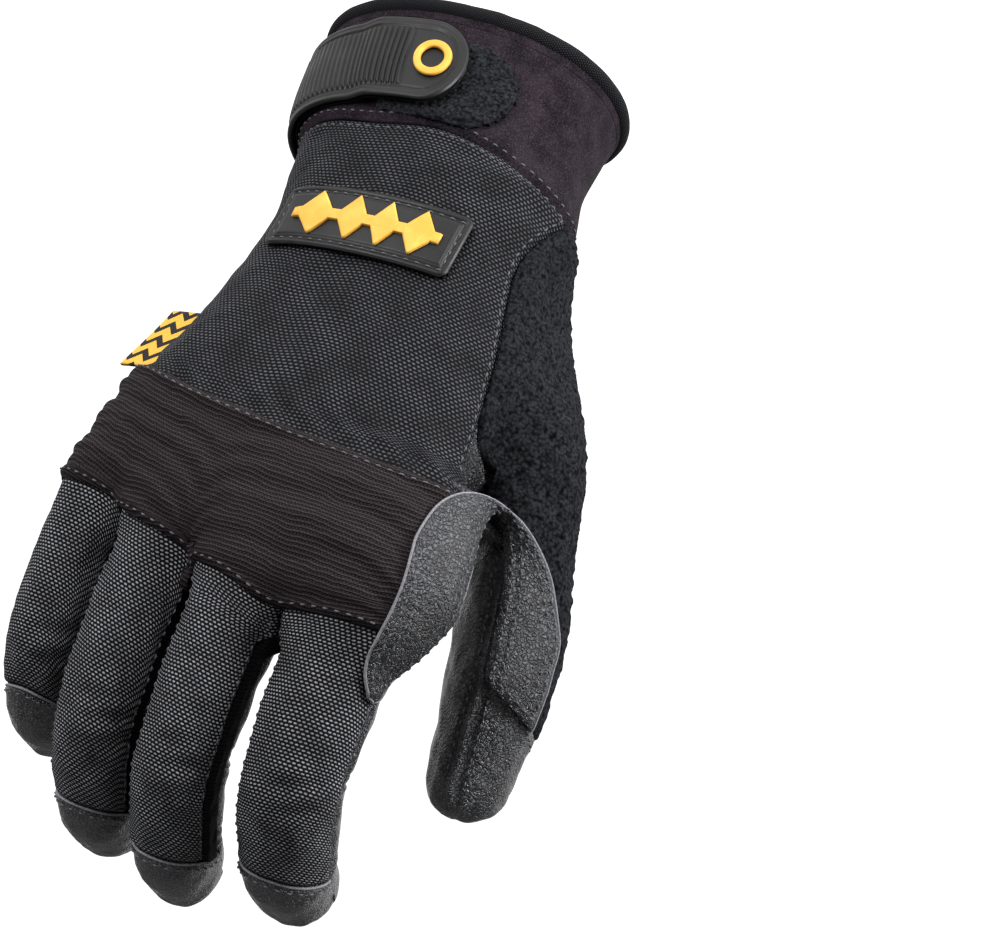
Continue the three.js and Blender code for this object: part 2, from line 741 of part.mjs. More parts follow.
// Back panel between the cuff seam and the knuckle band
function radialSeam(z) {
  const low = Math.min(z, CROTCH_Z - WEB_SAG);
  const below = ringAngle(sharedCorner('thumb', 'index', low, false).p);
  if (z <= CROTCH_Z - WEB_SAG) return below;
  const ray = RAYS.index;
  const above = ringAngle(ray.surface(ray.stationAt(z), EDGES.index.low * DEG));
  return lerp(below, above, Math.min((z - low) / WEB_SAG, 1));
}

function ulnarSeam(z) {
  return ringAngle(RAYS.little.surface(RAYS.little.stationAt(z), ULNAR_SEAM * DEG));
}

function backSheet(grow) {
  const cols = 14;
  const rows = spread(7).map((v) => spread(cols).map((w) => {
    let z = lerp(41, 121, v);
    let th = 0;
    for (let i = 0; i < 4; i += 1) {
      th = lerp(radialSeam(z) - grow / 40, ulnarSeam(z) + grow / 40, w);
      z = lerp(seam(CUFF_SEAM, th) - grow, seam(BAND_TOP, th) + PANEL_LAP, v);
    }
    return ringAt(z, th);
  }));
  return new Sheet().grid(rows);
}

// Thumb side: the terry strip from the cuff to the leather tip of the thumb
function thumbTipSeam(u) {
  return 101.5 + 0.105 * (31 - u / DEG);
}

function terrySheet(grow) {
  const ray = RAYS.thumb;
  const row = (stationOf, t) => {
    const lo = edge('thumb', -1, t, false, grow);
    const hi = edge('thumb', 1, t, false, grow);
    return spread(5).map((w) => {
      const u = lerp(lo.u, hi.u, w);
      if (w === 1 && hi.shared) {
        return t < ray.stationAt(55) ? shifted(cuffCorner('thumb', 1, false, grow), 1, grow) : hi.shared;
      }
      return ray.at(stationOf ? stationOf(u) : t, u);
    });
  };
  const first = (u) => ray.stationAt(seam(CUFF_SEAM, ringAngle(ray.surface(ray.stationAt(47), u))) - grow);
  const rows = [row(first, ray.stationAt(50))];
  for (const z of [58, 70, 82, 94, 106, CROTCH_Z - WEB_SAG, CROTCH_Z]) rows.push(row(null, ray.stationAt(z)));
  for (const t of fingerStations('thumb')) {
    if (t < thumbTipSeam(EDGES.thumb.low) + FINGER_STEP) rows.push(row((u) => Math.min(t, thumbTipSeam(u) + grow), t));
  }
  return new Sheet().grid(rows);
}

function thumbCapSheet(grow) {
  const ray = RAYS.thumb;
  const e = EDGES.thumb;
  const row = (stationOf) => {
    const m = grow / 10;
    return spread(5).map((w) => {
      const u = lerp(e.low * DEG - m, e.high * DEG + m, w);
      return ray.at(stationOf(u), u);
    });
  };
  const rows = [row((u) => thumbTipSeam(u) - grow)];
  rows.push(row((u) => lerp(thumbTipSeam(u) - grow, ray.end, 0.5)));
  for (const t of [ray.end, ray.end + 4]) rows.push(row(() => t));
  rows.push(row(() => ray.end + ray.domeHeight() * 0.8));
  return new Sheet().grid(rows);
}

// Crotch patch: up the thumb side of the index knuckle, over the crotch and up the thumb
const PATCH_THICK = 1.1;
const PATCH_OVER_BAND = BAND_THICK + BAND_LIFT + GAP + PATCH_THICK + 0.8;
const PATCH_OVER_BACK = GAP + PATCH_THICK + 0.2;
const TERRY_PROUD = 0.6;
const PATCH_OVER_TERRY = TERRY_PROUD + GAP + PATCH_THICK;

function patchSheet(grow) {
  const index = RAYS.index;
  const thumb = RAYS.thumb;
  const rows = [];
  const place = (q, proud) => ({ p: q.p.clone().addScaledVector(q.n, proud), n: q.n });
  const onIndex = (v) => {
    const t = lerp(index.stationAt(CROTCH_Z + 2), index.stationAt(166) + 2.5, v);
    const round = Math.sqrt(Math.max(1 - Math.max((v - 0.8) / 0.2, 0) ** 2, 0.04));
    const mid = -80;
    const half = 22 * round;
    const z = index.point(t).z;
    const proud = lerp(PATCH_OVER_BAND, PATCH_OVER_BACK, ease((z - 158) / 6));
    return spread(3).map((w) => place(index.at(t, lerp(mid + half, mid - half, w) * DEG), proud));
  };
  const onThumb = (v) => {
    const t0 = thumb.stationAt(CROTCH_Z + 2);
    return spread(3).map((w) => {
      const u = lerp(lerp(0, -34, Math.min(v * 2.2, 1)), 39, w) * DEG;
      return place(thumb.at(lerp(t0, thumbTipSeam(u) - 0.6, v), u), PATCH_OVER_TERRY);
    });
  };
  for (const v of [1, 0.93, 0.8, 0.55, 0.3, 0.1, 0]) rows.push(onIndex(v));
  const a = sharedCorner('thumb', 'index', CROTCH_Z - WEB_SAG, false);
  const b = sharedCorner('thumb', 'index', CROTCH_Z - WEB_SAG, true);
  const mid = spread(3).map((w) => {
    const p = a.p.clone().lerp(b.p, 0.42 * w).addScaledVector(a.n, (1 - w) * PATCH_OVER_BAND);
    const n = a.n.clone().multiplyScalar(1 - w).addScaledVector(UP, 0.35 + w).normalize();
    return { p: p.setZ(p.z + PATCH_OVER_TERRY + 0.6 + 1.2 * w), n };
  });
  rows.push(mid);
  for (const v of [0, 0.3, 0.65, 1]) rows.push(onThumb(v));
  return new Sheet().grid(rows);
}

// Cuff, its binding and the slit on the little finger side
const SLIT = { th: 118, half: 4.6, top: 66, arch: 18, low: 7 };

function slitPoint(side, z, extra) {
  const up = Math.max((z - (SLIT.top - SLIT.arch)) / (SLIT.arch + extra), 0);
  const w = (SLIT.half + extra) * Math.sqrt(Math.max(1 - up * up, 0));
  return SLIT.th * DEG + (side * w) / 30;
}

function slitSheet(extra, low, inset = 0) {
  const zs = [low, 18, 32, 44, 50, 56, 61, 64, SLIT.top - 0.4 + extra];
  return new Sheet().grid(zs.map((z) => spread(3).map((w) => {
    const q = ringAt(z, lerp(slitPoint(-1, z, extra), slitPoint(1, z, extra), w));
    return { p: q.p.addScaledVector(q.n, -inset), n: q.n };
  })));
}

function slitBindingSheet() {
  const zs = [50, 55, 60, 63.5, 65.6];
  const path = [];
  for (const z of zs) path.push([-1, z]);
  path.push([0, SLIT.top]);
  for (const z of zs.slice().reverse()) path.push([1, z]);
  const rows = path.map(([side, z]) => [0.3, 2.6].map((extra) => {
    const zz = side === 0 ? SLIT.top + extra : z + extra * ((z - 50) / 16);
    const th = side === 0 ? SLIT.th * DEG : slitPoint(side, zz, extra);
    const q = ringAt(zz, th);
    return { p: q.p.addScaledVector(q.n, 1.35), n: q.n };
  }));
  return new Sheet().grid(rows);
}

const CUFF_LOW = 2.2;
const BINDING_FLOOR = 1.1;

function cuffSheet(grow) {
  const cols = 36;
  const rows = spread(4).map((v) => spread(cols).map((w) => {
    const th = w === 1 ? -Math.PI : lerp(-Math.PI, Math.PI, w);
    return ringAt(lerp(CUFF_LOW, seam(CUFF_SEAM, th) + grow, v), th);
  }));
  return new Sheet().grid(rows);
}

function bindingSolid() {
  const outer = GAP + BINDING_PROUD;
  const inner = -(NEOPRENE + GAP + BINDING_PROUD);
  const profile = [
    [outer, BINDING_WIDTH], [outer, 0.7], [outer - 0.7, 0], [inner + 0.7, 0], [inner, 0.7],
    [inner, BINDING_WIDTH], [inner + BINDING_PROUD, BINDING_WIDTH],
    [inner + BINDING_PROUD, BINDING_FLOOR], [GAP, BINDING_FLOOR], [GAP, BINDING_WIDTH],
  ];
  const turns = 32;
  const verts = [];
  const tris = [];
  const m = profile.length;
  for (let i = 0; i < turns; i += 1) {
    const th = (i / turns) * 2 * Math.PI;
    for (const [off, z] of profile) {
      const q = ringAt(z, th);
      verts.push(q.p.addScaledVector(q.n.setZ(0).normalize(), off));
    }
  }
  for (let i = 0; i < turns; i += 1) {
    for (let j = 0; j < m; j += 1) {
      const a = i * m + j;
      const b = i * m + ((j + 1) % m);
      const c = ((i + 1) % turns) * m + ((j + 1) % m);
      const d = ((i + 1) % turns) * m + j;
      tris.push([a, b, c], [a, c, d]);
    }
  }
  return toManifold(verts, tris);
}

// Strap around the little finger side, its loop patch and emblem
const STRAP = { palmEnd: 208, backEnd: -19, palmZ: 26, backZ: 23.5, half: 12.6 };
const LOOP = { from: -44, to: 26, low: 12.5, high: 38, thick: 1.2 };
const RIB = { from: 12.5, to: 146, step: 5.5, width: 1.7, high: 0.6, halfLength: 9.6 };

function strapOffset(th) {
  const lift = ease((LOOP.to + 16 - th / DEG) / 14);
  return GAP + 0.05 + STRAP_THICK + lift * (LOOP.thick + GAP);
}

function strapZ(th) {
  return lerp(STRAP.backZ, STRAP.palmZ, Math.min(Math.max(th / DEG / 180, 0), 1));
}

function strapAt(th, across, proud = 0) {
  const q = ringAt(strapZ(th) + across, th);
  return { p: q.p.addScaledVector(q.n, strapOffset(th) + proud), n: q.n };
}

function strapSheet() {
  const r = 33;
  const span = ((STRAP.palmEnd - STRAP.backEnd) * DEG) * r;
  const ds = [0.4, 2, 5, 9, STRAP.half];
  const n = 17;
  const stations = [...ds];
  for (let i = 1; i < n; i += 1) stations.push(lerp(STRAP.half, span - STRAP.half, i / n));
  stations.push(...ds.slice().reverse().map((d) => span - d));
  const rows = stations.map((d) => {
    const near = Math.min(d, span - d);
    const half = STRAP.half * Math.sqrt(Math.max(1 - Math.max(1 - near / STRAP.half, 0) ** 2, 0));
    const th = STRAP.backEnd * DEG + d / r;
    return spread(2).map((w) => strapAt(th, lerp(-half, half, w)));
  });
  return new Sheet().grid(rows);
}

function ribSheet(th) {
  const half = RIB.width / 2 / 33;
  return new Sheet().grid([-1, 1].map((k) => [-1, 1].map(
    (w) => strapAt(th * DEG + k * half, w * RIB.halfLength, RIB.high),
  )));
}

const EMBLEM = { fromEnd: 17, outer: 5.6, inner: 3.3, high: 0.7 };

function emblemSheet() {
  const n = 18;
  const rows = spread(n).map((v) => {
    const a = v === 1 ? 0 : v * 2 * Math.PI;
    return [EMBLEM.inner, EMBLEM.outer].map((r) => {
      const th = (STRAP.backEnd + EMBLEM.fromEnd) * DEG + (r * Math.cos(a)) / 33;
      return strapAt(th, r * Math.sin(a), GAP + EMBLEM.high);
    });
  });
  return new Sheet().grid(rows);
}

function loopSheet() {
  const rows = spread(10).map((v) => {
    const th = lerp(LOOP.from, LOOP.to, v) * DEG;
    const d = (v * (LOOP.to - LOOP.from) * DEG) * 33;
    const half = ((LOOP.high - LOOP.low) / 2) * Math.sqrt(Math.max(1 - Math.max(1 - d / 14, 0) ** 2, 0.03));
    const mid = (LOOP.high + LOOP.low) / 2;
    return spread(3).map((w) => {
      const q = ringAt(mid + lerp(-half, half, w), th);
      return { p: q.p.addScaledVector(q.n, GAP + LOOP.thick), n: q.n };
    });
  });
  return new Sheet().grid(rows);
}

// Badge on the back and its relief
const BADGE = { low: 61, high: 78, left: -46.5, right: 61.5, thick: 1.5, relief: 0.8 };

function badgeAt(v, w, proud) {
  const th = lerp(BADGE.left, BADGE.right, w) * DEG;
  const q = ringAt(lerp(BADGE.low, BADGE.high, v), th);
  return { p: q.p.addScaledVector(q.n, proud), n: q.n };
}

function badgeSheet() {
  return new Sheet().grid(spread(2).map((v) => spread(10).map((w) => badgeAt(v, w, GAP + BADGE.thick))));
}

function reliefSolid() {
  const proud = GAP + BADGE.thick + GAP + BADGE.relief;
  const bar = new Sheet().grid([0.44, 0.56].map(
    (v) => spread(4).map((w) => badgeAt(v, lerp(0.1, 0.9, w), proud)),
  )).solid(BADGE.relief);
  const studs = [0.2, 0.4, 0.6, 0.8].map((c) => {
    const rows = [[0.2, 0], [0.5, 0.075], [0.8, 0]].map(([v, half]) => [-1, 1].map(
      (k) => badgeAt(v, c + k * Math.max(half, 0.012), proud),
    ));
    return new Sheet().grid(rows).solid(BADGE.relief);
  });
  return Manifold.union([bar, ...studs]);
}

// Palm pads
const palmSkin = palmSheet(-HALF_GAP);

function palmAt(x, z) {
  let best = null;
  for (const face of palmSkin.faces) {
    const [a, b, c] = face.map((i) => palmSkin.points[i]);
    const area = (b.x - a.x) * (c.z - a.z) - (c.x - a.x) * (b.z - a.z);
    if (Math.abs(area) < 1e-9) continue;
    const v = ((x - a.x) * (c.z - a.z) - (c.x - a.x) * (z - a.z)) / area;
    const w = ((b.x - a.x) * (z - a.z) - (x - a.x) * (b.z - a.z)) / area;
    if (v < -1e-6 || w < -1e-6 || v + w > 1 + 1e-6) continue;
    const y = a.y + v * (b.y - a.y) + w * (c.y - a.y);
    if (best && y > best.p.y) continue;
    const n = V(0, 0, 0);
    face.forEach((i, k) => n.addScaledVector(palmSkin.normals[i].clone().normalize(), [1 - v - w, v, w][k]));
    if (n.y > 0) best = { p: V(x, y, z), n: n.normalize() };
  }
  return best;
}

// Outlines of the pads: centre and the half sizes toward each side
const PADS = {
  knuckle: { x: -2, z: 140, left: 35, right: 33, low: 10.5, high: 9.5, square: 4, dome: 2.6, tilt: 0.07, lean: 0 },
  heel: { x: 2.5, z: 100, left: 20, right: 21, low: 37, high: 28, square: 2.3, dome: 3.4, tilt: 0, lean: 0 },
  thumb: { x: -34.5, z: 88, left: 12, right: 14, low: 26, high: 24, square: 2.2, dome: 3.0, tilt: 0, lean: -0.24 },
};

function padSolid(pad) {
  const turns = 20;
  const rings = [0, 0.45, 0.8, 1];
  const edgeHigh = 1.1;
  const outer = [];
  const inner = [];
  for (const k of rings) {
    for (let i = 0; i < (k === 0 ? 1 : turns); i += 1) {
      const a = (i / turns) * 2 * Math.PI;
      const c = Math.cos(a);
      const s = Math.sin(a);
      const hx = c < 0 ? pad.left : pad.right;
      const hz = s < 0 ? pad.low : pad.high;
      const r = (Math.abs(c) ** pad.square + Math.abs(s) ** pad.square) ** (-1 / pad.square);
      const across = hx * c * r * k;
      const along = hz * s * r * k;
      const x = pad.x + across + pad.lean * along;
      const z = pad.z + along + pad.tilt * across;
      const q = palmAt(x, z);
      const lift = -1;
      const high = GAP + edgeHigh + pad.dome * Math.sqrt(Math.max(1 - k ** 2.6, 0));
      outer.push(q.p.clone().addScaledVector(q.n, high));
      inner.push(q.p.clone().addScaledVector(q.n, lift));
    }
  }
  const n = outer.length;
  const id = (ring, i) => (ring === 0 ? 0 : 1 + (ring - 1) * turns + (i % turns));
  const tris = [];
  for (let i = 0; i < turns; i += 1) {
    tris.push([0, id(1, i + 1), id(1, i)], [n, n + id(1, i), n + id(1, i + 1)]);
    for (let k = 1; k + 1 < rings.length; k += 1) {
      const quad = [id(k, i), id(k, i + 1), id(k + 1, i + 1), id(k + 1, i)];
      tris.push([quad[0], quad[1], quad[2]], [quad[0], quad[2], quad[3]]);
      const low = quad.map((q) => q + n);
      tris.push([low[0], low[2], low[1]], [low[0], low[3], low[2]]);
    }
    const a = id(rings.length - 1, i);
    const b = id(rings.length - 1, i + 1);
    tris.push([a, b, n + b], [a, n + b, n + a]);
  }
  const solid = toManifold(outer.concat(inner), tris);
  return solid.volume() > 0 ? solid : toManifold(outer.concat(inner), tris.map(([a, b, c]) => [a, c, b]));
}

// Side tag standing out of the little finger seam
const TAG = { low: 90, high: 107.5, out: 12, thick: 1, turn: 32 };

function tagSheet() {
  const d = V(Math.cos(TAG.turn * DEG), Math.sin(TAG.turn * DEG), 0);
  const n = V(Math.sin(TAG.turn * DEG), -Math.cos(TAG.turn * DEG), 0);
  return new Sheet().grid(spread(2).map((v) => {
    const q = ringAt(lerp(TAG.low, TAG.high, v), (ULNAR_SEAM - 4) * DEG);
    return [1.2, 6, TAG.out].map((out) => ({ p: q.p.clone().addScaledVector(d, out), n }));
  }));
}

// Build every piece
const REAL = -HALF_GAP;
const WIDE = HALF_GAP;
const SEAM_EASE = 0.2;

const CUT_MARGIN = 0.5;

function grown(sheet, depth, outset = 0, margin = CUT_MARGIN) {
  return sheet.solid(depth + 2 * margin, outset + margin);
}

function largest(solid) {
  const bodies = solid.decompose();
  return bodies.reduce((a, b) => (b.volume() > a.volume() ? b : a));
}

const solids = {};
const palmCutter = grown(palmSheet(WIDE), LEATHER);
const slitCutter = slitSheet(0, SLIT.low).solid(9, 4);
solids.palm_leather = palmSheet(REAL).solid(LEATHER).subtract(slitCutter);
const backCutter = grown(backSheet(WIDE), WOVEN);
const bandClear = grown(bandSheet(REAL), BAND_THICK, BAND_THICK + BAND_LIFT, GAP);
const bandCutter = grown(bandSheet(WIDE), BAND_THICK, BAND_THICK + BAND_LIFT, 1.5 * CUT_MARGIN).add(bandClear);
solids.back_panel = backSheet(REAL).solid(WOVEN).subtract(bandCutter);
solids.knuckle_band = bandSheet(REAL).solid(BAND_THICK, BAND_THICK + BAND_LIFT);
for (const name of FINGER_NAMES) {
  const rows = fingerBackRows(name, 5, REAL - SEAM_EASE);
  solids[`finger_back_${name}`] = new Sheet().grid(rows).solid(WOVEN).subtract(bandCutter);
}
const PAIRS = [['index', 'middle'], ['middle', 'ring'], ['ring', 'little']];
for (const [a, b] of PAIRS) {
  const strip = new Sheet().grid(gussetRows(a, b, REAL - SEAM_EASE)).solid(WOVEN);
  solids[`gusset_${a}_${b}`] = largest(strip.subtract(palmCutter));
}
solids.thumb_terry = terrySheet(REAL - SEAM_EASE).solid(TERRY, TERRY_PROUD).subtract(backCutter);
solids.thumb_cap = thumbCapSheet(REAL).solid(LEATHER);
solids.crotch_patch = patchSheet(REAL).solid(PATCH_THICK);
solids.cuff = cuffSheet(REAL).solid(NEOPRENE).subtract(slitCutter);
solids.cuff_binding = bindingSolid();
solids.slit_gusset = slitSheet(4, BINDING_WIDTH + 2.5, NEOPRENE + GAP).solid(KNIT);
solids.slit_binding = slitBindingSheet().solid(1);
solids.loop_patch = loopSheet().solid(LOOP.thick);
const ribs = [];
for (let th = RIB.from; th <= RIB.to; th += RIB.step) ribs.push(ribSheet(th).solid(RIB.high + 0.5));
solids.strap = Manifold.union([strapSheet().solid(STRAP_THICK), ...ribs]);
solids.strap_emblem = emblemSheet().solid(EMBLEM.high);
solids.badge_patch = badgeSheet().solid(BADGE.thick);
solids.badge_relief = reliefSolid();
solids.knuckle_pad = largest(padSolid(PADS.knuckle).subtract(palmCutter));
solids.heel_pad = largest(padSolid(PADS.heel).subtract(palmCutter));
solids.thumb_pad = largest(padSolid(PADS.thumb).subtract(palmCutter));
solids.side_tag = tagSheet().solid(TAG.thick);

// Group of finished nodes
const group = new THREE.Group();
group.name = 'anti_vibration_glove';

function add(name, solid, colour, roughness) {
  const mesh = solid.getMesh();
  const pos = new Float32Array((mesh.vertProperties.length / mesh.numProp) * 3);
  for (let i = 0; i < pos.length / 3; i += 1) {
    for (let k = 0; k < 3; k += 1) pos[i * 3 + k] = mesh.vertProperties[i * mesh.numProp + k];
  }
  const geometry = new THREE.BufferGeometry();
  geometry.setAttribute('position', new THREE.BufferAttribute(pos, 3));
  geometry.setIndex(new THREE.BufferAttribute(new Uint32Array(mesh.triVerts), 1));
  geometry.computeVertexNormals();
  const material = new THREE.MeshStandardMaterial({ color: colour, roughness, metalness: 0 });
  const node = new THREE.Mesh(geometry, material);
  node.name = name;
  group.add(node);
}

// Colour and roughness of each kind of piece
const LOOKS = {
  leather: [0x1b1b1e, 0.42],
  woven: [0x24262a, 0.9],
  knit: [0x2a2727, 0.92],
  neoprene: [0x232126, 0.85],
  terry: [0x151618, 1],
  rubber: [0x1f2022, 0.5],
  yellow: [0xe9ae3c, 0.6],
};

const FINISH = {
  palm_leather: 'leather',
  back_panel: 'woven',
  knuckle_band: 'knit',
  finger_back_index: 'woven',
  finger_back_middle: 'woven',
  finger_back_ring: 'woven',
  finger_back_little: 'woven',
  gusset_index_middle: 'knit',
  gusset_middle_ring: 'knit',
  gusset_ring_little: 'knit',
  thumb_terry: 'terry',
  thumb_cap: 'leather',
  crotch_patch: 'leather',
  cuff: 'neoprene',
  cuff_binding: 'knit',
  slit_gusset: 'knit',
  slit_binding: 'leather',
  loop_patch: 'terry',
  strap: 'rubber',
  strap_emblem: 'yellow',
  badge_patch: 'rubber',
  badge_relief: 'yellow',
  knuckle_pad: 'leather',
  heel_pad: 'leather',
  thumb_pad: 'leather',
  side_tag: 'yellow',
};

for (const [name, solid] of Object.entries(solids)) add(name, solid, ...LOOKS[FINISH[name]]);

export default group;
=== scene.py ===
"""Dresses the packed work glove: panels, seams, pads, strap, materials, light and camera."""

import math

import bpy
import numpy as np
from bpy.props import FloatProperty, PointerProperty
from mathutils import Matrix
from mathutils.bvhtree import BVHTree


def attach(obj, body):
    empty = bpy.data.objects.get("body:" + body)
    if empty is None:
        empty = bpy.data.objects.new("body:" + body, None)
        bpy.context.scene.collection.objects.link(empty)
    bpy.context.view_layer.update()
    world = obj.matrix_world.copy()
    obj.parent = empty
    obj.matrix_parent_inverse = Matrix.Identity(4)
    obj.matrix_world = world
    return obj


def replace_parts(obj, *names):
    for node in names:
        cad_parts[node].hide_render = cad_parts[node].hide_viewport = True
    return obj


bl_info = {
    "name": "Work Glove",
    "version": (1, 0, 0),
    "blender": (4, 5, 0),
    "location": "3D View > Sidebar > Glove",
    "description": "Builds the visual pieces of a padded work glove on its packed frame",
    "category": "Object",
}

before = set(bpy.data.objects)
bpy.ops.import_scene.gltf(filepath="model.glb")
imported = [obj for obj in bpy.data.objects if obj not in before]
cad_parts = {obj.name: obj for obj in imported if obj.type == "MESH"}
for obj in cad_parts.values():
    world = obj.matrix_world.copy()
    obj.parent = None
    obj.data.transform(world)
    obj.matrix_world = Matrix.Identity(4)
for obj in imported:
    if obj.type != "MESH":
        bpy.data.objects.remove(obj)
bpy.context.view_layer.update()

MM = 0.001
DEG = math.pi / 180

# Sections of the hand: height, centre x and y, half width, half depth, squareness, all in mm
SECTIONS = np.array([
    [0, 0.0, 0.0, 39.0, 29.0, 2.1],
    [14, -1.2, -3.5, 37.2, 27.0, 2.1],
    [30, -3.6, -8.0, 36.0, 24.5, 2.1],
    [48, -8.6, -11.5, 35.4, 22.0, 2.2],
    [66, -9.4, -13.0, 33.6, 20.0, 2.3],
    [91, -8.4, -14.5, 36.6, 18.5, 2.4],
    [116, -5.6, -16.0, 41.2, 17.0, 2.5],
    [141, -6.4, -17.5, 45.2, 14.8, 2.5],
    [168, -6.0, -19.0, 45.0, 12.5, 2.4],
])

# Ball of the thumb: height, centre x and y, radius
THENAR = np.array([
    [48, -24, -6, 14],
    [70, -33, -0.5, 16.5],
    [95, -45.5, 2.2, 16.5],
    [118, -53.2, 10, 14],
    [130, -55.2, 14, 13],
])

CROTCH_Z = 120.0
WEB_SAG = 3.5
PANEL_LAP = 1.6
ULNAR_SEAM = 94

# Thickness of each material and the gap between pieces
GAP = 0.35
LEATHER = 1.3
WOVEN = 1.2
KNIT = 1.0
TERRY = 2.0
NEOPRENE = 2.2
BAND_THICK = 1.0
BAND_OUT = 1.55
TERRY_PROUD = 0.6
PATCH_THICK = 1.1
PATCH_OVER_BAND = 3.8
PATCH_OVER_BACK = 1.65
PATCH_OVER_TERRY = 2.05

# Slit on the palm side of the wrist: angle, half width and heights
SLIT_TH = 118
SLIT_HALF = 4.6
SLIT_TOP = 66
SLIT_ARCH = 18
SLIT_LOW = 7
CUFF_SEAM_AT_SLIT = 42.5
CUFF_FOOT = 2.2

# Strap, loop patch, badge, tag and pads
STRAP = dict(palm_end=208, back_end=-19, palm_z=26, back_z=23.5, half=12.6, thick=2.2, radius=33)
LOOP = dict(start=-44, stop=26, low=12.5, high=38, thick=1.2)
RIB = dict(start=12.5, stop=146, step=2.75, width=0.8, high=0.6, half=9.3)
EMBLEM = dict(from_end=17, outer=5.6, inner=3.3, high=0.7)
BADGE = dict(low=61, high=78, left=-46.5, right=61.5, thick=1.5, relief=0.8)
TAG = dict(low=90, high=107.5, out=12, thick=1, turn=14)
PADS = {
    "knuckle": dict(x=-2, z=140, left=35, right=33, low=10.5, high=9.5, square=4, dome=2.6, tilt=0.07, lean=0),
    "heel": dict(x=2.5, z=100, left=20, right=21, low=37, high=28, square=2.3, dome=3.4, tilt=0, lean=0),
    "thumb": dict(x=-34.5, z=88, left=12, right=14, low=26, high=24, square=2.2, dome=3.0, tilt=0, lean=-0.24),
}
PAD_EDGE = 1.1

# Fingers: wrist and knuckle points, bone lengths, lean, half widths, half depths, web heights
FINGERS = {
    "index": dict(
        wrist=(-19, -11, 50), knuckle=(-34, -16.5, 145), bones=(42.6, 24.8, 12.9), lean=5.6,
        wide=(11.4, 10.9, 10.3, 9.3), deep=(12.2, 11.4, 10.4, 9.2), webs=(CROTCH_Z, 166)),
    "middle": dict(
        wrist=(-11, -12, 50), knuckle=(-10.3, -17.8, 149), bones=(42.3, 25.3, 12.9), lean=6.8,
        wide=(9.8, 9.4, 9.0, 8.1), deep=(12.4, 11.5, 10.5, 9.3), webs=(166, 159)),
    "ring": dict(
        wrist=(-2, -12, 50), knuckle=(10.3, -17.8, 144), bones=(42.3, 25.6, 12.3), lean=7.4,
        wide=(10.3, 10.0, 9.5, 8.5), deep=(12.0, 11.2, 10.2, 9.0), webs=(159, 154)),
    "little": dict(
        wrist=(9, -11, 50), knuckle=(29.6, -17, 135), bones=(37.5, 21.4, 11.2), lean=9.2,
        wide=(9.6, 9.0, 8.6, 7.8), deep=(11.2, 10.3, 9.4, 8.3), webs=(154, 154)),
}
BENDS = (26, 35.5, 24.5)
ORDER = ("thumb", "index", "middle", "ring", "little")
FINGER_NAMES = ORDER[1:]

# Thumb: points of its centre line, half widths, half depths
THUMB_LINE = [(-33, -4, 50), (-34, 0, 72), (-46.5, 2.4, 97), (-54.2, 10.7, 120), (-58, 19, 144), (-57, 29.5, 164.7)]
THUMB_WIDE = (15, 15, 14.1, 12.6, 11.7, 9.2)
THUMB_DEEP = (14, 14, 13.6, 12, 10.9, 8.7)
THUMB_TURN = -42 * DEG

# Plane between thumb and index finger: height, back point, palm point
THUMB_DIVIDE = np.array([
    [46, -43.5, -17, -14, 8],
    [64, -39.5, -24, -27, 7],
    [88, -43, -22.5, -29, 8],
    [118, -46, -20.5, -42, 4],
])

# Edges of the panels of each finger, in degrees from its back
EDGES = {
    "thumb": (-90, 42, -90, 42),
    "index": (-88, 66, -88, 104),
    "middle": (-66, 66, -104, 104),
    "ring": (-66, 66, -104, 104),
    "little": (-66, ULNAR_SEAM, -104, ULNAR_SEAM),
}
GUSSET_END = 9
CAP_SEAM = {"index": -17.5, "middle": -18.5, "ring": -19, "little": -22.5}

# Seams around the hand: angle in degrees against height
CUFF_SEAM = np.array([
    [-180, 47], [-135, 47.5], [-80, 46.5], [-48, 41.5], [-13, 39], [29, 40.5], [63, 39.5], [110, 42], [180, 47]])
BAND_TOP = np.array([[-95, 121.2], [-68, 124], [-42, 123.5], [15, 121.5], [53, 118.5], [78, 112], [96, 110]])
BAND_LOW = np.array([[-95, 156.5], [-67, 159], [-6, 156.5], [40, 154], [68, 149.5], [78, 144.5], [96, 141.5]])


def hermite(t, ts, vs):
    """Smooth curve through rows of a table: cubic pieces whose slope at a row is that of its neighbours."""
    ts, vs, t = np.asarray(ts, float), np.asarray(vs, float), np.asarray(t, float)
    shape = t.shape
    t = t.reshape(-1)
    step = (ts[2:] - ts[:-2]).reshape((-1,) + (1,) * (vs.ndim - 1))
    m = np.empty_like(vs)
    m[1:-1] = (vs[2:] - vs[:-2]) / step
    m[0] = (vs[1] - vs[0]) / (ts[1] - ts[0])
    m[-1] = (vs[-1] - vs[-2]) / (ts[-1] - ts[-2])
    tc = np.clip(t, ts[0], ts[-1])
    i = np.clip(np.searchsorted(ts, tc, side="right") - 1, 0, len(ts) - 2)
    h = ts[i + 1] - ts[i]
    u = (tc - ts[i]) / h
    over = t - tc
    if vs.ndim == 2:
        h, u, over = h[:, None], u[:, None], over[:, None]
    out = vs[i] * (2 * u**3 - 3 * u**2 + 1) + m[i] * h * (u**3 - 2 * u**2 + u)
    out = out + vs[i + 1] * (3 * u**2 - 2 * u**3) + m[i + 1] * h * (u**3 - u**2)
    out = out + np.where(over > 0, over * m[-1], over * m[0])
    return out.reshape(shape + vs.shape[1:])


def ease(v):
    u = np.clip(v, 0, 1)
    return u * u * (3 - 2 * u)


def unit(v):
    return v / np.maximum(np.linalg.norm(v, axis=-1, keepdims=True), 1e-9)


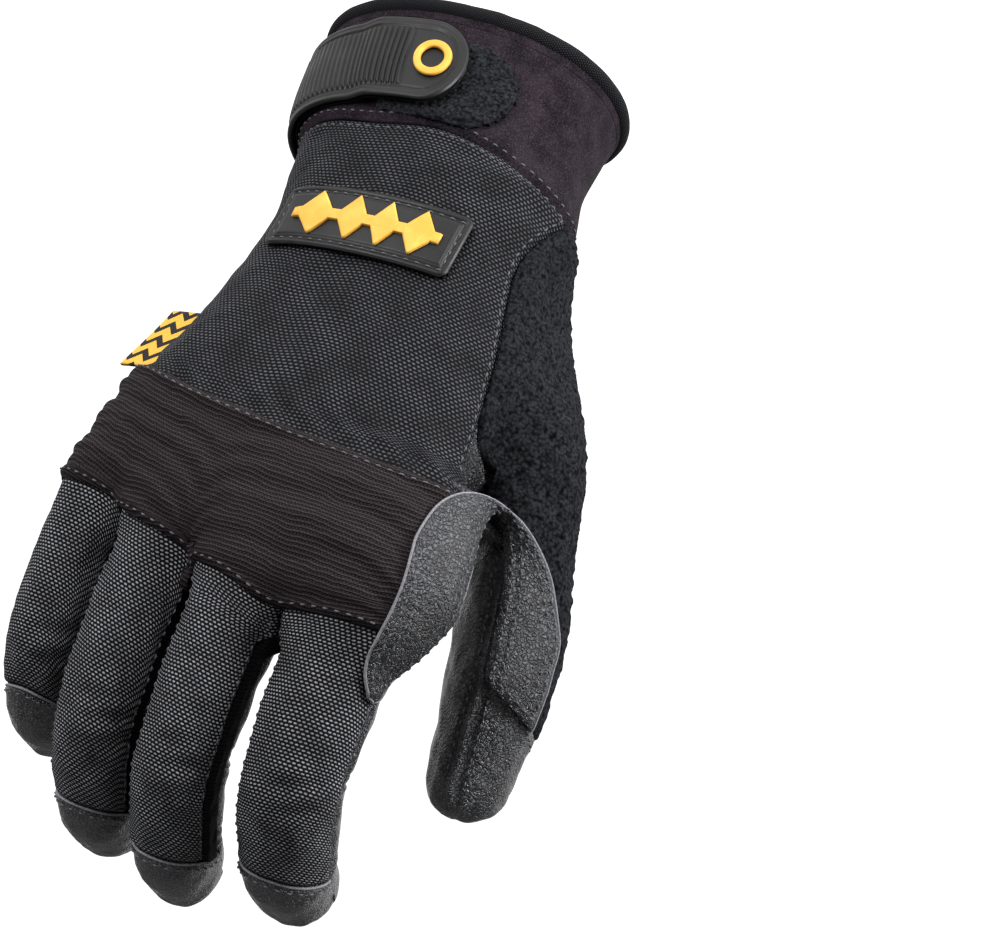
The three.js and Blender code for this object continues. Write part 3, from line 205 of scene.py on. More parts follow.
def outline(x, y, z):
    """Distance, nearly, to the hand's outline at height z: a superellipse smoothly joined to a circle."""
    s = hermite(z, SECTIONS[:, 0], SECTIONS[:, 1:])
    cx, cy, a, b, n = (s[..., i] for i in range(5))
    ax = np.abs((x - cx) / a) + 1e-6
    ay = np.abs((y - cy) / b) + 1e-6
    rho = (ax**n + ay**n) ** (1 / n)
    slope = np.hypot(ax ** (n - 1) / a, ay ** (n - 1) / b) * rho ** (1 - n)
    f = (rho - 1) / slope
    t = hermite(z, THENAR[:, 0], THENAR[:, 1:])
    g = np.hypot(x - t[..., 0], y - t[..., 1]) - t[..., 2]
    k = 4 + 8 * np.clip((CROTCH_Z - z) / 30, 0, 1)
    h = np.clip(0.5 + 0.5 * (g - f) / k, 0, 1)
    joined = g * (1 - h) + f * h - k * h * (1 - h)
    return np.where((z > 46) & (z <= CROTCH_Z + 0.001), joined, f)


def reach(px, py, dx, dy, z):
    """Distance from an inner point to the outline in one direction, by steps and then halving."""
    px, py, dx, dy, z = np.broadcast_arrays(px, py, dx, dy, z)
    step = 1.6
    lo = np.full(px.shape, step)
    found = np.zeros(px.shape, bool)
    for k in range(2, 48):
        r = k * step
        hit = ~found & (outline(px + dx * r, py + dy * r, z) >= 0)
        lo = np.where(hit, r - step, lo)
        found |= hit
        if found.all():
            break
    hi = lo + step
    for _ in range(12):
        m = 0.5 * (lo + hi)
        inside = outline(px + dx * m, py + dy * m, z) < 0
        lo, hi = np.where(inside, m, lo), np.where(inside, hi, m)
    return 0.5 * (lo + hi)


class Ray:
    """One finger or thumb with the part of the hand below it, as a surface of station t and angle u."""

    def __init__(self, name):
        self.name = name
        if name == "thumb":
            knots, self.wide, self.deep = np.array(THUMB_LINE, float), THUMB_WIDE, THUMB_DEEP
            self.webs, top, self.turn_length = (CROTCH_Z, CROTCH_Z), CROTCH_Z, 20
            self.side = np.array([math.cos(THUMB_TURN), math.sin(THUMB_TURN), 0])
        else:
            q = FINGERS[name]
            wrist, knuckle = np.array(q["wrist"], float), np.array(q["knuckle"], float)
            knots = [wrist + (knuckle - wrist) * s for s in (0, 0.45, 0.8, 1)]
            bend = 0
            for bone, turn in zip(q["bones"], BENDS):
                bend += turn * DEG
                lean = q["lean"] * DEG
                d = (math.sin(lean) * math.cos(bend / 2), math.sin(bend), math.cos(bend) * math.cos(lean))
                knots.append(knots[-1] + unit(np.array(d)) * bone)
            knots = np.array(knots)
            self.wide = (q["wide"][0],) * 3 + q["wide"]
            self.deep = (q["deep"][0],) * 3 + q["deep"]
            self.webs = (q["webs"][1],) * 2 if name == "index" else q["webs"]
            top, self.turn_length = max(q["webs"]), 22
            self.side = np.array([1.0, 0, 0])
        self.knots = knots
        self.t = np.r_[0, np.cumsum(np.linalg.norm(np.diff(knots, axis=0), axis=1))]
        self.end = self.t[-1]
        ss = np.linspace(-16, self.end * 0.75, 500)
        self.table = (hermite(ss, self.t, knots)[:, 2], ss)
        self.turn = float(self.station(top))
        self.dome = 0.95 * self.deep[-1]
        self.tip = self.end + self.dome

    def station(self, z):
        return np.interp(z, *self.table)

    def frame(self, t):
        tc = np.minimum(t, self.end)
        ahead = hermite(np.minimum(tc + 0.5, self.end), self.t, self.knots)
        along = unit(ahead - hermite(tc - 0.5, self.t, self.knots))
        w = ease((tc - self.turn) / self.turn_length)[..., None]
        n = unit(np.array([0, 0, 1.0]) * (1 - w) + along * w)
        s = unit(self.side - n * (n @ self.side)[..., None])
        over = np.maximum(t - self.end, 0)
        p = hermite(tc, self.t, self.knots) + along * over[..., None]
        return p, s, np.cross(s, n), over

    def surface(self, t, u):
        t, u = np.broadcast_arrays(np.asarray(t, float), np.asarray(u, float))
        p, s, b, over = self.frame(t)
        tc = np.minimum(t, self.end)
        wide = hermite(tc, self.t, self.wide)
        deep = hermite(tc, self.t, self.deep)
        oval = ((np.abs(np.sin(u)) / wide) ** 2.2 + (np.abs(np.cos(u)) / deep) ** 2.2) ** (-1 / 2.2)
        z = p[..., 2]
        d = s * np.sin(u)[..., None] + b * np.cos(u)[..., None]
        body = reach(p[..., 0], p[..., 1], d[..., 0], d[..., 1], np.minimum(z, 168))
        blend = 22 if self.name == "thumb" else 10 + 18 * (0.5 + 0.5 * np.cos(u))
        web = self.webs[0] + (self.webs[1] - self.webs[0]) * (0.5 + 0.5 * np.sin(u))
        w = ease((z - web + blend) / blend)
        r = np.where(t <= self.turn + 0.01, body * (1 - w) + oval * w, oval)
        r = r * np.sqrt(np.clip(1 - (over / self.dome) ** 2, 0, 1))
        return p + d * r[..., None]


RAYS = {name: Ray(name) for name in ORDER}


def ring(z, th):
    """Surface of the hand around its own centre line: angle 0 faces the back, 90 the little finger side."""
    z, th = np.broadcast_arrays(np.asarray(z, float), np.asarray(th, float))
    s = hermite(z, SECTIONS[:, 0], SECTIONS[:, 1:3])
    dx, dy = np.sin(th), -np.cos(th)
    r = reach(s[..., 0], s[..., 1], dx, dy, z)
    return np.stack([s[..., 0] + dx * r, s[..., 1] + dy * r, z], -1)


def ring_angle(p):
    s = hermite(p[..., 2], SECTIONS[:, 0], SECTIONS[:, 1:3])
    return np.arctan2(p[..., 0] - s[..., 0], s[..., 1] - p[..., 1])


def seam(table, th):
    return hermite(np.asarray(th) / DEG, table[:, 0], table[:, 1])


def divide(left, right, z):
    """Plane between two neighbours at heights z: a point on it and its direction toward the thumb."""
    if left == "thumb":
        q = hermite(z, THUMB_DIVIDE[:, 0], THUMB_DIVIDE[:, 1:])
        a, c = q[..., 0:2], q[..., 2:4]
        m = unit(np.stack([(c - a)[..., 1], -(c - a)[..., 0]], -1))
        return a, np.where(m[..., :1] > 0, -m, m)
    x = 0.5 * sum(hermite(RAYS[n].station(z), RAYS[n].t, RAYS[n].knots)[..., 0] for n in (left, right))
    return np.stack([x, 0 * x], -1), np.stack([0 * x - 1, 0 * x], -1)


HEIGHTS = np.linspace(36, 168, 100)


def corner_table(name, sign, palm):
    """Angle on a ray's surface where it crosses the plane to its neighbour, for each height."""
    ray = RAYS[name]
    other = ORDER[ORDER.index(name) + sign]
    pair = (other, name) if sign < 0 else (name, other)
    a, m = divide(*pair, HEIGHTS)
    first, last = (180, 97) if palm else (5, 84)
    t = ray.station(HEIGHTS)

    def past(u):
        p = ray.surface(t, sign * u)
        return ((p[..., :2] - a) * m).sum(-1) * -sign

    lo = np.full(t.shape, float(first)) * DEG
    hi = np.full(t.shape, float(last)) * DEG
    done = np.zeros(t.shape, bool)
    for k in range(1, 25):
        u = np.full(t.shape, first + (last - first) * k / 24) * DEG
        hit = ~done & (past(u) >= 0)
        lo = np.where(hit, u - (last - first) / 24 * DEG, lo)
        hi = np.where(hit, u, hi)
        done |= hit
    for _ in range(14):
        mid = 0.5 * (lo + hi)
        out = past(mid) >= 0
        hi, lo = np.where(out, mid, hi), np.where(out, lo, mid)
    return sign * hi


CORNERS = {}


def edge_angle(name, sign, t, palm, webs=True):
    """Edge of a back or palm panel at station t: on the dividing plane low down, a fixed angle past the web."""
    ray = RAYS[name]
    fixed = EDGES[name][(2 if palm else 0) + (0 if sign < 0 else 1)] * DEG
    t = np.asarray(t, float)
    if (name == "thumb" and sign < 0) or (name == "little" and sign > 0):
        return np.full(t.shape, fixed)
    key = (name, sign, palm)
    if key not in CORNERS:
        CORNERS[key] = corner_table(*key)
    beside_thumb = "thumb" in (name, ORDER[ORDER.index(name) + sign])
    web = CROTCH_Z if beside_thumb else FINGERS[name]["webs"][0 if sign < 0 else 1]
    z = np.interp(t, ray.table[1], ray.table[0])
    low = np.interp(np.minimum(z, web - WEB_SAG), HEIGHTS, CORNERS[key])
    if not webs:
        return np.interp(z, HEIGHTS, CORNERS[key])
    w = ease((z - web + WEB_SAG) / WEB_SAG) * (t <= ray.turn + 30) + (t > ray.turn + 30)
    return low * (1 - w) + fixed * w


def cap_seam(name, u):
    """Station of the leather tip's seam: nearer the palm it runs closer to the tip."""
    side = math.cos(EDGES[name][3] * DEG)
    share = np.minimum((1 - np.cos(u)) / (1 - side), 1)
    return RAYS[name].end + CAP_SEAM[name] + (-GUSSET_END - CAP_SEAM[name]) * share


def thumb_seam(u):
    return 101.5 + 0.105 * (31 - u / DEG)


def wobble(p, size, seed, octaves=3):
    """Smooth noise from -1 to 1: a sum of sine waves in fixed random directions."""
    rng = np.random.default_rng(seed)
    out = np.zeros(p.shape[:-1])
    for k in range(octaves):
        for _ in range(4):
            d = unit(rng.normal(size=3)) * (2 * math.pi / size) * 1.7**k
            out += np.sin(p @ d + rng.uniform(0, 6.28)) * 0.6**k
    return out / 4


def grid_normals(p):
    """Outward directions of a grid from its own differences, mended where a row shrinks to a point."""
    n = np.cross(np.gradient(p, axis=1), np.gradient(p, axis=0))
    size = np.linalg.norm(n, axis=-1, keepdims=True)
    n = n / np.maximum(size, 1e-9)
    for i in range(1, len(p)):
        bad = size[i, :, 0] < 1e-6
        n[i, bad] = unit(n[i - 1].mean(0))
    return n


class Panel:
    """A grid of points with directions, cloth coordinates in mm and distances to its four edges."""

    def __init__(self, p):
        self.p = p
        self.n = grid_normals(p)
        across = np.linalg.norm(np.diff(p, axis=1), axis=-1)
        along = np.linalg.norm(np.diff(p, axis=0), axis=-1)
        self.left = np.concatenate([np.zeros((len(p), 1)), np.cumsum(across, 1)], 1)
        self.right = self.left[:, -1:] - self.left
        self.low = np.concatenate([np.zeros((1, p.shape[1])), np.cumsum(along, 0)], 0)
        self.high = self.low[-1:] - self.low
        mid = p.shape[1] // 2
        self.uv = np.stack([self.left - self.left[:, mid : mid + 1], self.low], -1)
        self.keep = None

    def push(self, amount):
        self.p = self.p + self.n * amount[..., None]
        return self

    def settle(self):
        self.n = grid_normals(self.p)
        return self


def pinch(d, depth=1.0, width=1.3, roll=0.0):
    """Seam profile: sinks by depth at the edge, with a low roll beside it."""
    return -depth * np.exp(-((d / width) ** 2)) + roll * np.exp(-(((d - 2.2 * width) / (1.2 * width)) ** 2))


def mesh_object(name, panels, material, thick=0.0, smooth=True):
    """One object from grids: each is a sheet, or a closed shell when thick is given in mm."""
    verts, quads, uvs = [], [], []
    base = 0
    for panel in panels:
        rows, cols = panel.p.shape[:2]
        idx = np.arange(rows * cols).reshape(rows, cols) + base
        face = np.stack([idx[:-1, :-1], idx[:-1, 1:], idx[1:, 1:], idx[1:, :-1]], -1).reshape(-1, 4)
        if panel.keep is not None:
            face = face[panel.keep.ravel()]
        verts.append(panel.p.reshape(-1, 3))
        uvs.append(panel.uv.reshape(-1, 2))
        quads.append(face)
        base += rows * cols
        if thick:
            verts.append((panel.p - panel.n * thick).reshape(-1, 3))
            uvs.append(panel.uv.reshape(-1, 2))
            inner = idx + rows * cols
            quads.append(face[:, ::-1] + rows * cols)
            ends = ((idx[0], inner[0]), (inner[-1], idx[-1]))
            sides = ((inner[:, 0], idx[:, 0]), (idx[:, -1], inner[:, -1]))
            for a, b in ends + sides:
                quads.append(np.stack([a[:-1], b[:-1], b[1:], a[1:]], -1))
            base += rows * cols
    return raw_object(name, np.concatenate(verts), np.concatenate(quads), material, np.concatenate(uvs), smooth)


def raw_object(name, verts, faces, material, uvs=None, smooth=True):
    """One mesh object from arrays of points in mm and of faces with the same number of corners."""
    faces = np.asarray(faces, np.int32)
    mesh = bpy.data.meshes.new(name)
    mesh.vertices.add(len(verts))
    mesh.vertices.foreach_set("co", (np.asarray(verts) * MM).astype(np.float32).ravel())
    mesh.loops.add(faces.size)
    mesh.loops.foreach_set("vertex_index", faces.ravel())
    mesh.polygons.add(len(faces))
    mesh.polygons.foreach_set("loop_start", np.arange(0, faces.size, faces.shape[1], dtype=np.int32))
    mesh.polygons.foreach_set("use_smooth", np.full(len(faces), smooth))
    mesh.update(calc_edges=True)
    if uvs is not None:
        layer = mesh.uv_layers.new(name="cloth")
        layer.data.foreach_set("uv", np.asarray(uvs)[faces.ravel()].astype(np.float32).ravel())
    mesh.validate()
    mesh.materials.append(material)
    obj = bpy.data.objects.new(name, mesh)
    bpy.context.scene.collection.objects.link(obj)
    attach(obj, "root")
    return obj


def tube_along(path, normal, wide, high, closed=False, sides=8):
    """Rounded cord of oval section swept along a path: arrays of points and quads."""
    path = np.asarray(path, float)
    tangent = np.gradient(path, axis=0) if not closed else np.roll(path, -1, 0) - np.roll(path, 1, 0)
    tangent = unit(tangent)
    side = unit(np.cross(normal, tangent))
    lift = unit(np.cross(tangent, side))
    a = np.linspace(0, 2 * math.pi, sides, endpoint=False)
    rings = path[:, None] + side[:, None] * (np.cos(a) * wide)[:, None] + lift[:, None] * (np.sin(a) * high)[:, None]
    n = len(path)
    idx = np.arange(n * sides).reshape(n, sides)
    nxt = np.roll(idx, -1, 1)
    up = np.roll(idx, -1, 0) if closed else idx[1:]
    upn = np.roll(nxt, -1, 0) if closed else nxt[1:]
    here, heren = (idx, nxt) if closed else (idx[:-1], nxt[:-1])
    return rings.reshape(-1, 3), np.stack([here, heren, upn, up], -1).reshape(-1, 4)


def resample(path, step, *others):
    """Points at even steps along a path, with other arrays carried along."""
    path = np.asarray(path, float)
    s = np.r_[0, np.cumsum(np.linalg.norm(np.diff(path, axis=0), axis=1))]
    n = max(int(s[-1] / step), 2)
    at = np.linspace(0, s[-1], n)
    pick = [np.stack([np.interp(at, s, np.asarray(q)[:, k]) for k in range(3)], -1) for q in (path, *others)]
    return pick if others else pick[0]


def stitch_arrays(path, normal, pitch=2.6, length=1.7, radius=0.24):
    """Row of thread stitches along a path: small rounded grains that dip at both ends."""
    half = 12
    fine, dirs = resample(path, pitch / half, normal)
    verts, faces, base = [], [], 0
    span = max(int(half * length / pitch), 4)
    for start in range(0, len(fine) - span, half):
        part = fine[start : start + span + 1 : 2]
        n = unit(dirs[start : start + span + 1 : 2])
        k = np.linspace(-1, 1, len(part))
        part = part + n * (0.32 * radius * 2 * (1 - k**4) - 0.12)[:, None]
        v, f = tube_along(part, n, 1.0, 1.0, sides=6)
        centre = np.repeat(part, 6, axis=0)
        size = np.repeat(radius * np.sqrt(np.clip(1.05 - k**2, 0.02, 1)), 6)
        verts.append(centre + (v - centre) * size[:, None])
        faces.append(f + base)
        base += len(v)
    return np.concatenate(verts), np.concatenate(faces)


def stitches(name, rows, material, slot, s, **options):
    """One object for many stitch rows; each row is a path with its directions."""
    verts, faces, base = [], [], 0
    for path, dirs in rows:
        v, f = stitch_arrays(path, dirs, s.stitch_pitch / MM, 0.66 * s.stitch_pitch / MM, s.thread / MM / 2, **options)
        verts.append(v)
        faces.append(f + base)
        base += len(v)
    return raw_object(name, np.concatenate(verts), np.concatenate(faces), material)


def hex_colour(code):
    """Linear colour with alpha from a hex code such as 1b1b1e."""
    rgb = [int(code[i : i + 2], 16) / 255 for i in (0, 2, 4)]
    return tuple(c / 12.92 if c <= 0.04045 else ((c + 0.055) / 1.055) ** 2.4 for c in rgb) + (1.0,)


class Nodes:
    """Small helper that adds shader nodes and links their inputs by name."""

    def __init__(self, name):
        self.mat = bpy.data.materials.new(name)
        self.mat.use_nodes = True
        self.tree = self.mat.node_tree
        self.shader = self.tree.nodes["Principled BSDF"]

    def add(self, kind, inputs=None, **settings):
        node = self.tree.nodes.new(kind)
        for key, value in settings.items():
            setattr(node, key, value)
        for key, value in (inputs or {}).items():
            socket = node.inputs[key]
            if isinstance(value, bpy.types.NodeSocket):
                self.tree.links.new(value, socket)
            else:
                socket.default_value = value
        return node

    def math(self, op, *values):
        return self.add("ShaderNodeMath", dict(enumerate(values)), operation=op).outputs[0]

    def cloth(self):
        """Cloth coordinates in mm: across and along the cut piece."""
        uv = self.add("ShaderNodeUVMap", uv_map="cloth").outputs[0]
        parts = self.add("ShaderNodeSeparateXYZ", {0: uv})
        return uv, parts.outputs[0], parts.outputs[1]

    def mm(self):
        """Object coordinates scaled to mm."""
        coord = self.add("ShaderNodeTexCoord").outputs["Object"]
        return self.add("ShaderNodeVectorMath", {0: coord, 1: (1000, 1000, 1000)}, operation="MULTIPLY").outputs[0]

    def noise(self, vector, size, detail=2.0, rough=0.5):
        inputs = {"Vector": vector, "Scale": 1 / size, "Detail": detail, "Roughness": rough}
        return self.add("ShaderNodeTexNoise", inputs).outputs[0]

    def spread(self, value, low, high, to_low=0.0, to_high=1.0):
        inputs = {"Value": value, "From Min": low, "From Max": high, "To Min": to_low, "To Max": to_high}
        return self.add("ShaderNodeMapRange", inputs, interpolation_type="SMOOTHSTEP").outputs[0]

    def blend(self, factor, a, b):
        node = self.add("ShaderNodeMix", data_type="RGBA")
        for key, value in ((0, factor), (6, a), (7, b)):
            if isinstance(value, bpy.types.NodeSocket):
                self.tree.links.new(value, node.inputs[key])
            else:
                node.inputs[key].default_value = value
        return node.outputs[2]

    def relief(self, height, depth):
        """Bump of a height field from 0 to 1, with its depth in mm."""
        inputs = {"Height": height, "Strength": 1.0, "Distance": depth * MM}
        return self.add("ShaderNodeBump", inputs).outputs[0]

    def finish(self, colour, rough, normal=None, sheen=0.0, specular=0.5):
        for key, value in (("Base Color", colour), ("Roughness", rough), ("Normal", normal)):
            if isinstance(value, bpy.types.NodeSocket):
                self.tree.links.new(value, self.shader.inputs[key])
            elif value is not None:
                self.shader.inputs[key].default_value = value
        self.shader.inputs["Sheen Weight"].default_value = sheen
        self.shader.inputs["Sheen Roughness"].default_value = 0.5
        self.shader.inputs["Specular IOR Level"].default_value = specular
        return self.mat


def cells(n, across, along, pitch_u, pitch_v, fill_u, fill_v):
    """Staggered rows of oval grains: 1 at a grain's middle, 0 between grains."""
    row = n.math("FLOOR", n.math("DIVIDE", along, pitch_v))
    shift = n.math("MULTIPLY", n.math("PINGPONG", row, 1.0), 0.5)
    cu = n.math("SUBTRACT", n.math("FRACT", n.math("ADD", n.math("DIVIDE", across, pitch_u), shift)), 0.5)
    cv = n.math("SUBTRACT", n.math("FRACT", n.math("DIVIDE", along, pitch_v)), 0.5)
    du = n.math("POWER", n.math("DIVIDE", n.math("ABSOLUTE", cu), fill_u), 2.0)
    dv = n.math("POWER", n.math("DIVIDE", n.math("ABSOLUTE", cv), fill_v), 2.0)
    return n.spread(n.math("ADD", du, dv), 1.15, 0.1)


def woven_material(name, dark, light, pitch_u=1.25, pitch_v=0.82):
    """Woven nylon, matt, with rows of paler float threads."""
    n = Nodes(name)
    uv, across, along = n.cloth()
    drift = n.noise(uv, 14)
    along2 = n.math("ADD", along, n.math("MULTIPLY", drift, 1.2))
    grain = cells(n, across, along2, pitch_u, pitch_v, 0.44, 0.36)
    fine = n.noise(uv, 0.35, 3, 0.7)
    patchy = n.noise(uv, 9, 3)
    lit = n.spread(n.math("ADD", fine, n.math("MULTIPLY", patchy, 0.5)), 0.5, 1.0, 0.15, 1.0)
    tone = n.math("MULTIPLY", n.math("POWER", grain, 1.6), lit)
    height = n.math("ADD", n.math("MULTIPLY", grain, 0.8), n.math("MULTIPLY", fine, 0.25))
    colour = n.blend(tone, hex_colour(dark), hex_colour(light))
    return n.finish(colour, n.spread(fine, 0.3, 0.8, 0.72, 0.95), n.relief(height, 0.2), sheen=0.0, specular=0.12)


def ribbed_material(name, dark, light, pitch=0.95):
    """Ribbed stretch fabric, matt, with fine ribs along the band and small knit loops."""
    n = Nodes(name)
    uv, across, along = n.cloth()
    drift = n.math("MULTIPLY", n.noise(uv, 11, 3), 2.6)
    wave = n.math("SINE", n.math("MULTIPLY", n.math("ADD", along, drift), 2 * math.pi / pitch))
    rib = n.spread(wave, -0.9, 0.9)
    loops = cells(n, across, n.math("ADD", along, drift), 0.8, pitch / 2, 0.45, 0.45)
    fine = n.noise(uv, 0.4, 3, 0.7)
    raised = n.math("ADD", n.math("MULTIPLY", rib, 0.55), n.math("MULTIPLY", loops, 0.45))
    lit = n.math("MULTIPLY", raised, n.spread(fine, 0.3, 0.75, 0.35, 1))
    height = n.math("ADD", rib, n.math("MULTIPLY", loops, 0.3))
    colour = n.blend(lit, hex_colour(dark), hex_colour(light))
    return n.finish(colour, 0.92, n.relief(height, 0.2), sheen=0.0, specular=0.12)


def knit_material(name, dark, light, pitch=0.7):
    """Fine knit, matt, with small staggered loops."""
    n = Nodes(name)
    uv, across, along = n.cloth()
    grain = cells(n, across, along, pitch, pitch * 0.7, 0.42, 0.42)
    fine = n.noise(uv, 0.3, 2, 0.7)
    colour = n.blend(n.math("MULTIPLY", grain, fine), hex_colour(dark), hex_colour(light))
    return n.finish(colour, 0.93, n.relief(grain, 0.14), sheen=0.0, specular=0.12)


def terry_material(name, dark, light):
    """Looped pile, very matt, with soft clumps."""
    n = Nodes(name)
    at = n.mm()
    inputs = {"Vector": at, "Scale": 1 / 0.72, "Randomness": 1.0}
    tufts = n.add("ShaderNodeTexVoronoi", inputs, feature="SMOOTH_F1").outputs[0]
    fuzz = n.noise(at, 0.35, 4, 0.75)
    clumps = n.noise(at, 3.2, 3)
    height = n.math("ADD", n.math("SUBTRACT", 1.0, tufts), n.math("MULTIPLY", fuzz, 0.7))
    lit = n.math("MULTIPLY", n.spread(height, 0.5, 1.35), n.spread(clumps, 0.3, 0.7, 0.7, 1))
    colour = n.blend(lit, hex_colour(dark), hex_colour(light))
    return n.finish(colour, 1.0, n.relief(height, 0.34), sheen=0.0, specular=0.06)


def neoprene_material(name, dark, light):
    """Faced neoprene, matt, with a fine speckled jersey."""
    n = Nodes(name)
    at = n.mm()
    speck = n.noise(at, 0.42, 3, 0.8)
    soft = n.noise(at, 6, 2)
    lit = n.math("ADD", n.spread(speck, 0.45, 0.75, 0, 0.75), n.spread(soft, 0.3, 0.7, 0, 0.2))
    colour = n.blend(lit, hex_colour(dark), hex_colour(light))
    return n.finish(colour, 0.95, n.relief(speck, 0.12), sheen=0.0, specular=0.1)


def leather_material(name, dark, light, rough=0.42, grain=1.1, depth=0.11):
    """Grain leather, semi-gloss, with fine pebbles and creases that catch the light."""
    n = Nodes(name)
    at = n.mm()
    warp = n.add("ShaderNodeVectorMath", {0: at, 1: n.noise(at, 1.1, 3)}, operation="ADD").outputs[0]
    pebbles = n.add("ShaderNodeTexVoronoi", {"Vector": warp, "Scale": 1 / grain}, feature="DISTANCE_TO_EDGE").outputs[0]
    bumps_and_painted_highlight = n.spread(pebbles, 0.0, 0.22)
    folds = n.noise(at, 1.7, 5, 0.7)
    worn = n.noise(at, 9, 3)
    height = n.math("ADD", n.math("MULTIPLY", bumps_and_painted_highlight, 0.9), n.math("MULTIPLY", folds, 2.2))
    # Colour: the pale colour on the pebble tops is painted highlight and the dark lines between them are painted shade;
    # worn varies this in random patches.
    lit = n.math("MULTIPLY", n.spread(worn, 0.3, 0.7, 0.35, 1.0), bumps_and_painted_highlight)
    colour = n.blend(lit, hex_colour(dark), hex_colour(light))
    gloss = n.spread(worn, 0.25, 0.75, rough - 0.06, rough + 0.1)
    return n.finish(colour, gloss, n.relief(height, depth), specular=0.7)


def suede_material(name, code):
    """Cut edge of leather, matt and fibrous."""
    n = Nodes(name)
    at = n.mm()
    fibre = n.noise(at, 0.5, 4, 0.8)
    base = hex_colour(code)
    low = tuple(c * 0.45 for c in base[:3]) + (1.0,)
    return n.finish(n.blend(n.spread(fibre, 0.3, 0.7), low, base), 0.95, n.relief(fibre, 0.12), specular=0.2)


def rubber_material(name, dark, light, rough=0.48):
    """Moulded rubber, satin, with a faint mould texture and scuffs."""
    n = Nodes(name)
    at = n.mm()
    skin = n.noise(at, 0.3, 3, 0.6)
    scuff = n.noise(at, 7, 4, 0.65)
    colour = n.blend(n.spread(scuff, 0.4, 0.75), hex_colour(dark), hex_colour(light))
    return n.finish(colour, n.spread(scuff, 0.3, 0.7, rough - 0.05, rough + 0.1), n.relief(skin, 0.03), specular=0.32)


def thread_material(name, code):
    """Bonded sewing thread, satin, with a faint twist."""
    n = Nodes(name)
    twist = n.noise(n.mm(), 0.25, 1)
    base = hex_colour(code)
    low = tuple(c * 0.6 for c in base[:3]) + (1.0,)
    return n.finish(n.blend(twist, low, base), 0.6, n.relief(twist, 0.04))


def ribbon_material(name, yellow, black):
    """Woven ribbon, matt: black border and a row of generic chevrons on amber yellow."""
    n = Nodes(name)
    uv, across, along = n.cloth()
    fine = n.noise(uv, 0.25, 2, 0.7)
    zig = n.math("PINGPONG", across, 2.4)
    step = n.math("FRACT", n.math("DIVIDE", n.math("ADD", along, zig), 4.4))
    marks = n.spread(n.math("ABSOLUTE", n.math("SUBTRACT", step, 0.5)), 0.2, 0.23)
    colour = n.blend(marks, hex_colour(black), hex_colour(yellow))
    colour = n.blend(n.spread(fine, 0.2, 0.9, 0, 0.25), colour, hex_colour(black))
    return n.finish(colour, 0.85, n.relief(fine, 0.05), sheen=0.1, specular=0.3)


MATERIALS = {}


def look(key):
    """Finished material by short name, made once."""
    makers = {
        # The back panel and the finger backs share one woven nylon in two copies: the back's copy is kept darker as
        # painted shade, and the fingers' copy has paler grains as painted light, because the fingers catch more light.
        "woven": lambda: woven_material("woven_nylon_matt_painted_shade", "040405", "5c5d63"),
        "finger_woven_painted_light": lambda: woven_material("finger_nylon_matt_painted_light", "060607", "a9aab0", 1.15, 0.78),
        "ribbed": lambda: ribbed_material("ribbed_stretch_matt", "040303", "433b3d"),
        "knit": lambda: knit_material("fine_knit_matt", "050506", "2c2d31"),
        "terry": lambda: terry_material("terry_pile_matt", "030303", "2f3034"),
        "neoprene": lambda: neoprene_material("faced_neoprene_matt", "0b080b", "40353f"),
        # Both leathers carry painted highlight on the grain tops and painted shade between them.
        "leather": lambda: leather_material("grain_leather_semi_gloss_painted_highlight", "030304", "3d3e44", 0.3, 0.95, 0.3),
        "pad": lambda: leather_material("pad_leather_semi_gloss_painted_highlight", "0a0b0e", "1d1f26", 0.3, 0.55, 0.07),
        "suede": lambda: suede_material("leather_cut_edge_matt", "8b8b90"),
        "rubber": lambda: rubber_material("moulded_rubber_satin", "050506", "0f1012"),
        "yellow": lambda: rubber_material("amber_rubber_satin", "d39a34", "e2b04e", 0.46),
        "thread": lambda: thread_material("bonded_thread_satin", "515258"),
        "ribbon": lambda: ribbon_material("woven_ribbon_matt", "e3ab3e", "121212"),
        "binding": lambda: knit_material("knit_binding_matt", "040405", "3a3b3f", 0.7),
    }
    if key not in MATERIALS:
        MATERIALS[key] = makers[key]()
    return MATERIALS[key]


def lerp(a, b, v):
    return a + (b - a) * v


def height_on(ray, table, u, drop=0.0, first=145.0):
    """Height at which a ray's surface at angle u meets a seam around the hand."""
    z = np.full(np.shape(u), first)
    for _ in range(4):
        z = seam(table, ring_angle(ray.surface(ray.station(z), u))) - drop
    return z


def strip(name, palm, start, stop, v, cols, dome=0, webs=True):
    """Grid on one ray between its panel edges, from station start(u) to stop(u), with rows at shares v."""
    ray = RAYS[name]
    v = np.asarray(v, float)[:, None]
    side = {}
    for sign in (-1, 1):
        u = np.full(v.shape, EDGES[name][(2 if palm else 0) + (0 if sign < 0 else 1)] * DEG)
        for _ in range(4):
            u = edge_angle(name, sign, lerp(start(u), stop(u), v), palm, webs)
        side[sign] = u
    a, b = (side[1], side[-1] + 2 * math.pi) if palm else (side[-1], side[1])
    w = np.linspace(0, 1, cols)[None]
    u = lerp(a, b, w)
    t = lerp(start(u), stop(u), v)
    if dome:
        phi = np.linspace(0, 90, dome + 1)[1:, None] * DEG
        t = np.concatenate([t, ray.end + ray.dome * np.sin(phi) + 0 * w])
        u = np.concatenate([u, np.repeat(u[-1:], dome, 0)])
    return Panel(ray.surface(t, u)), t, u


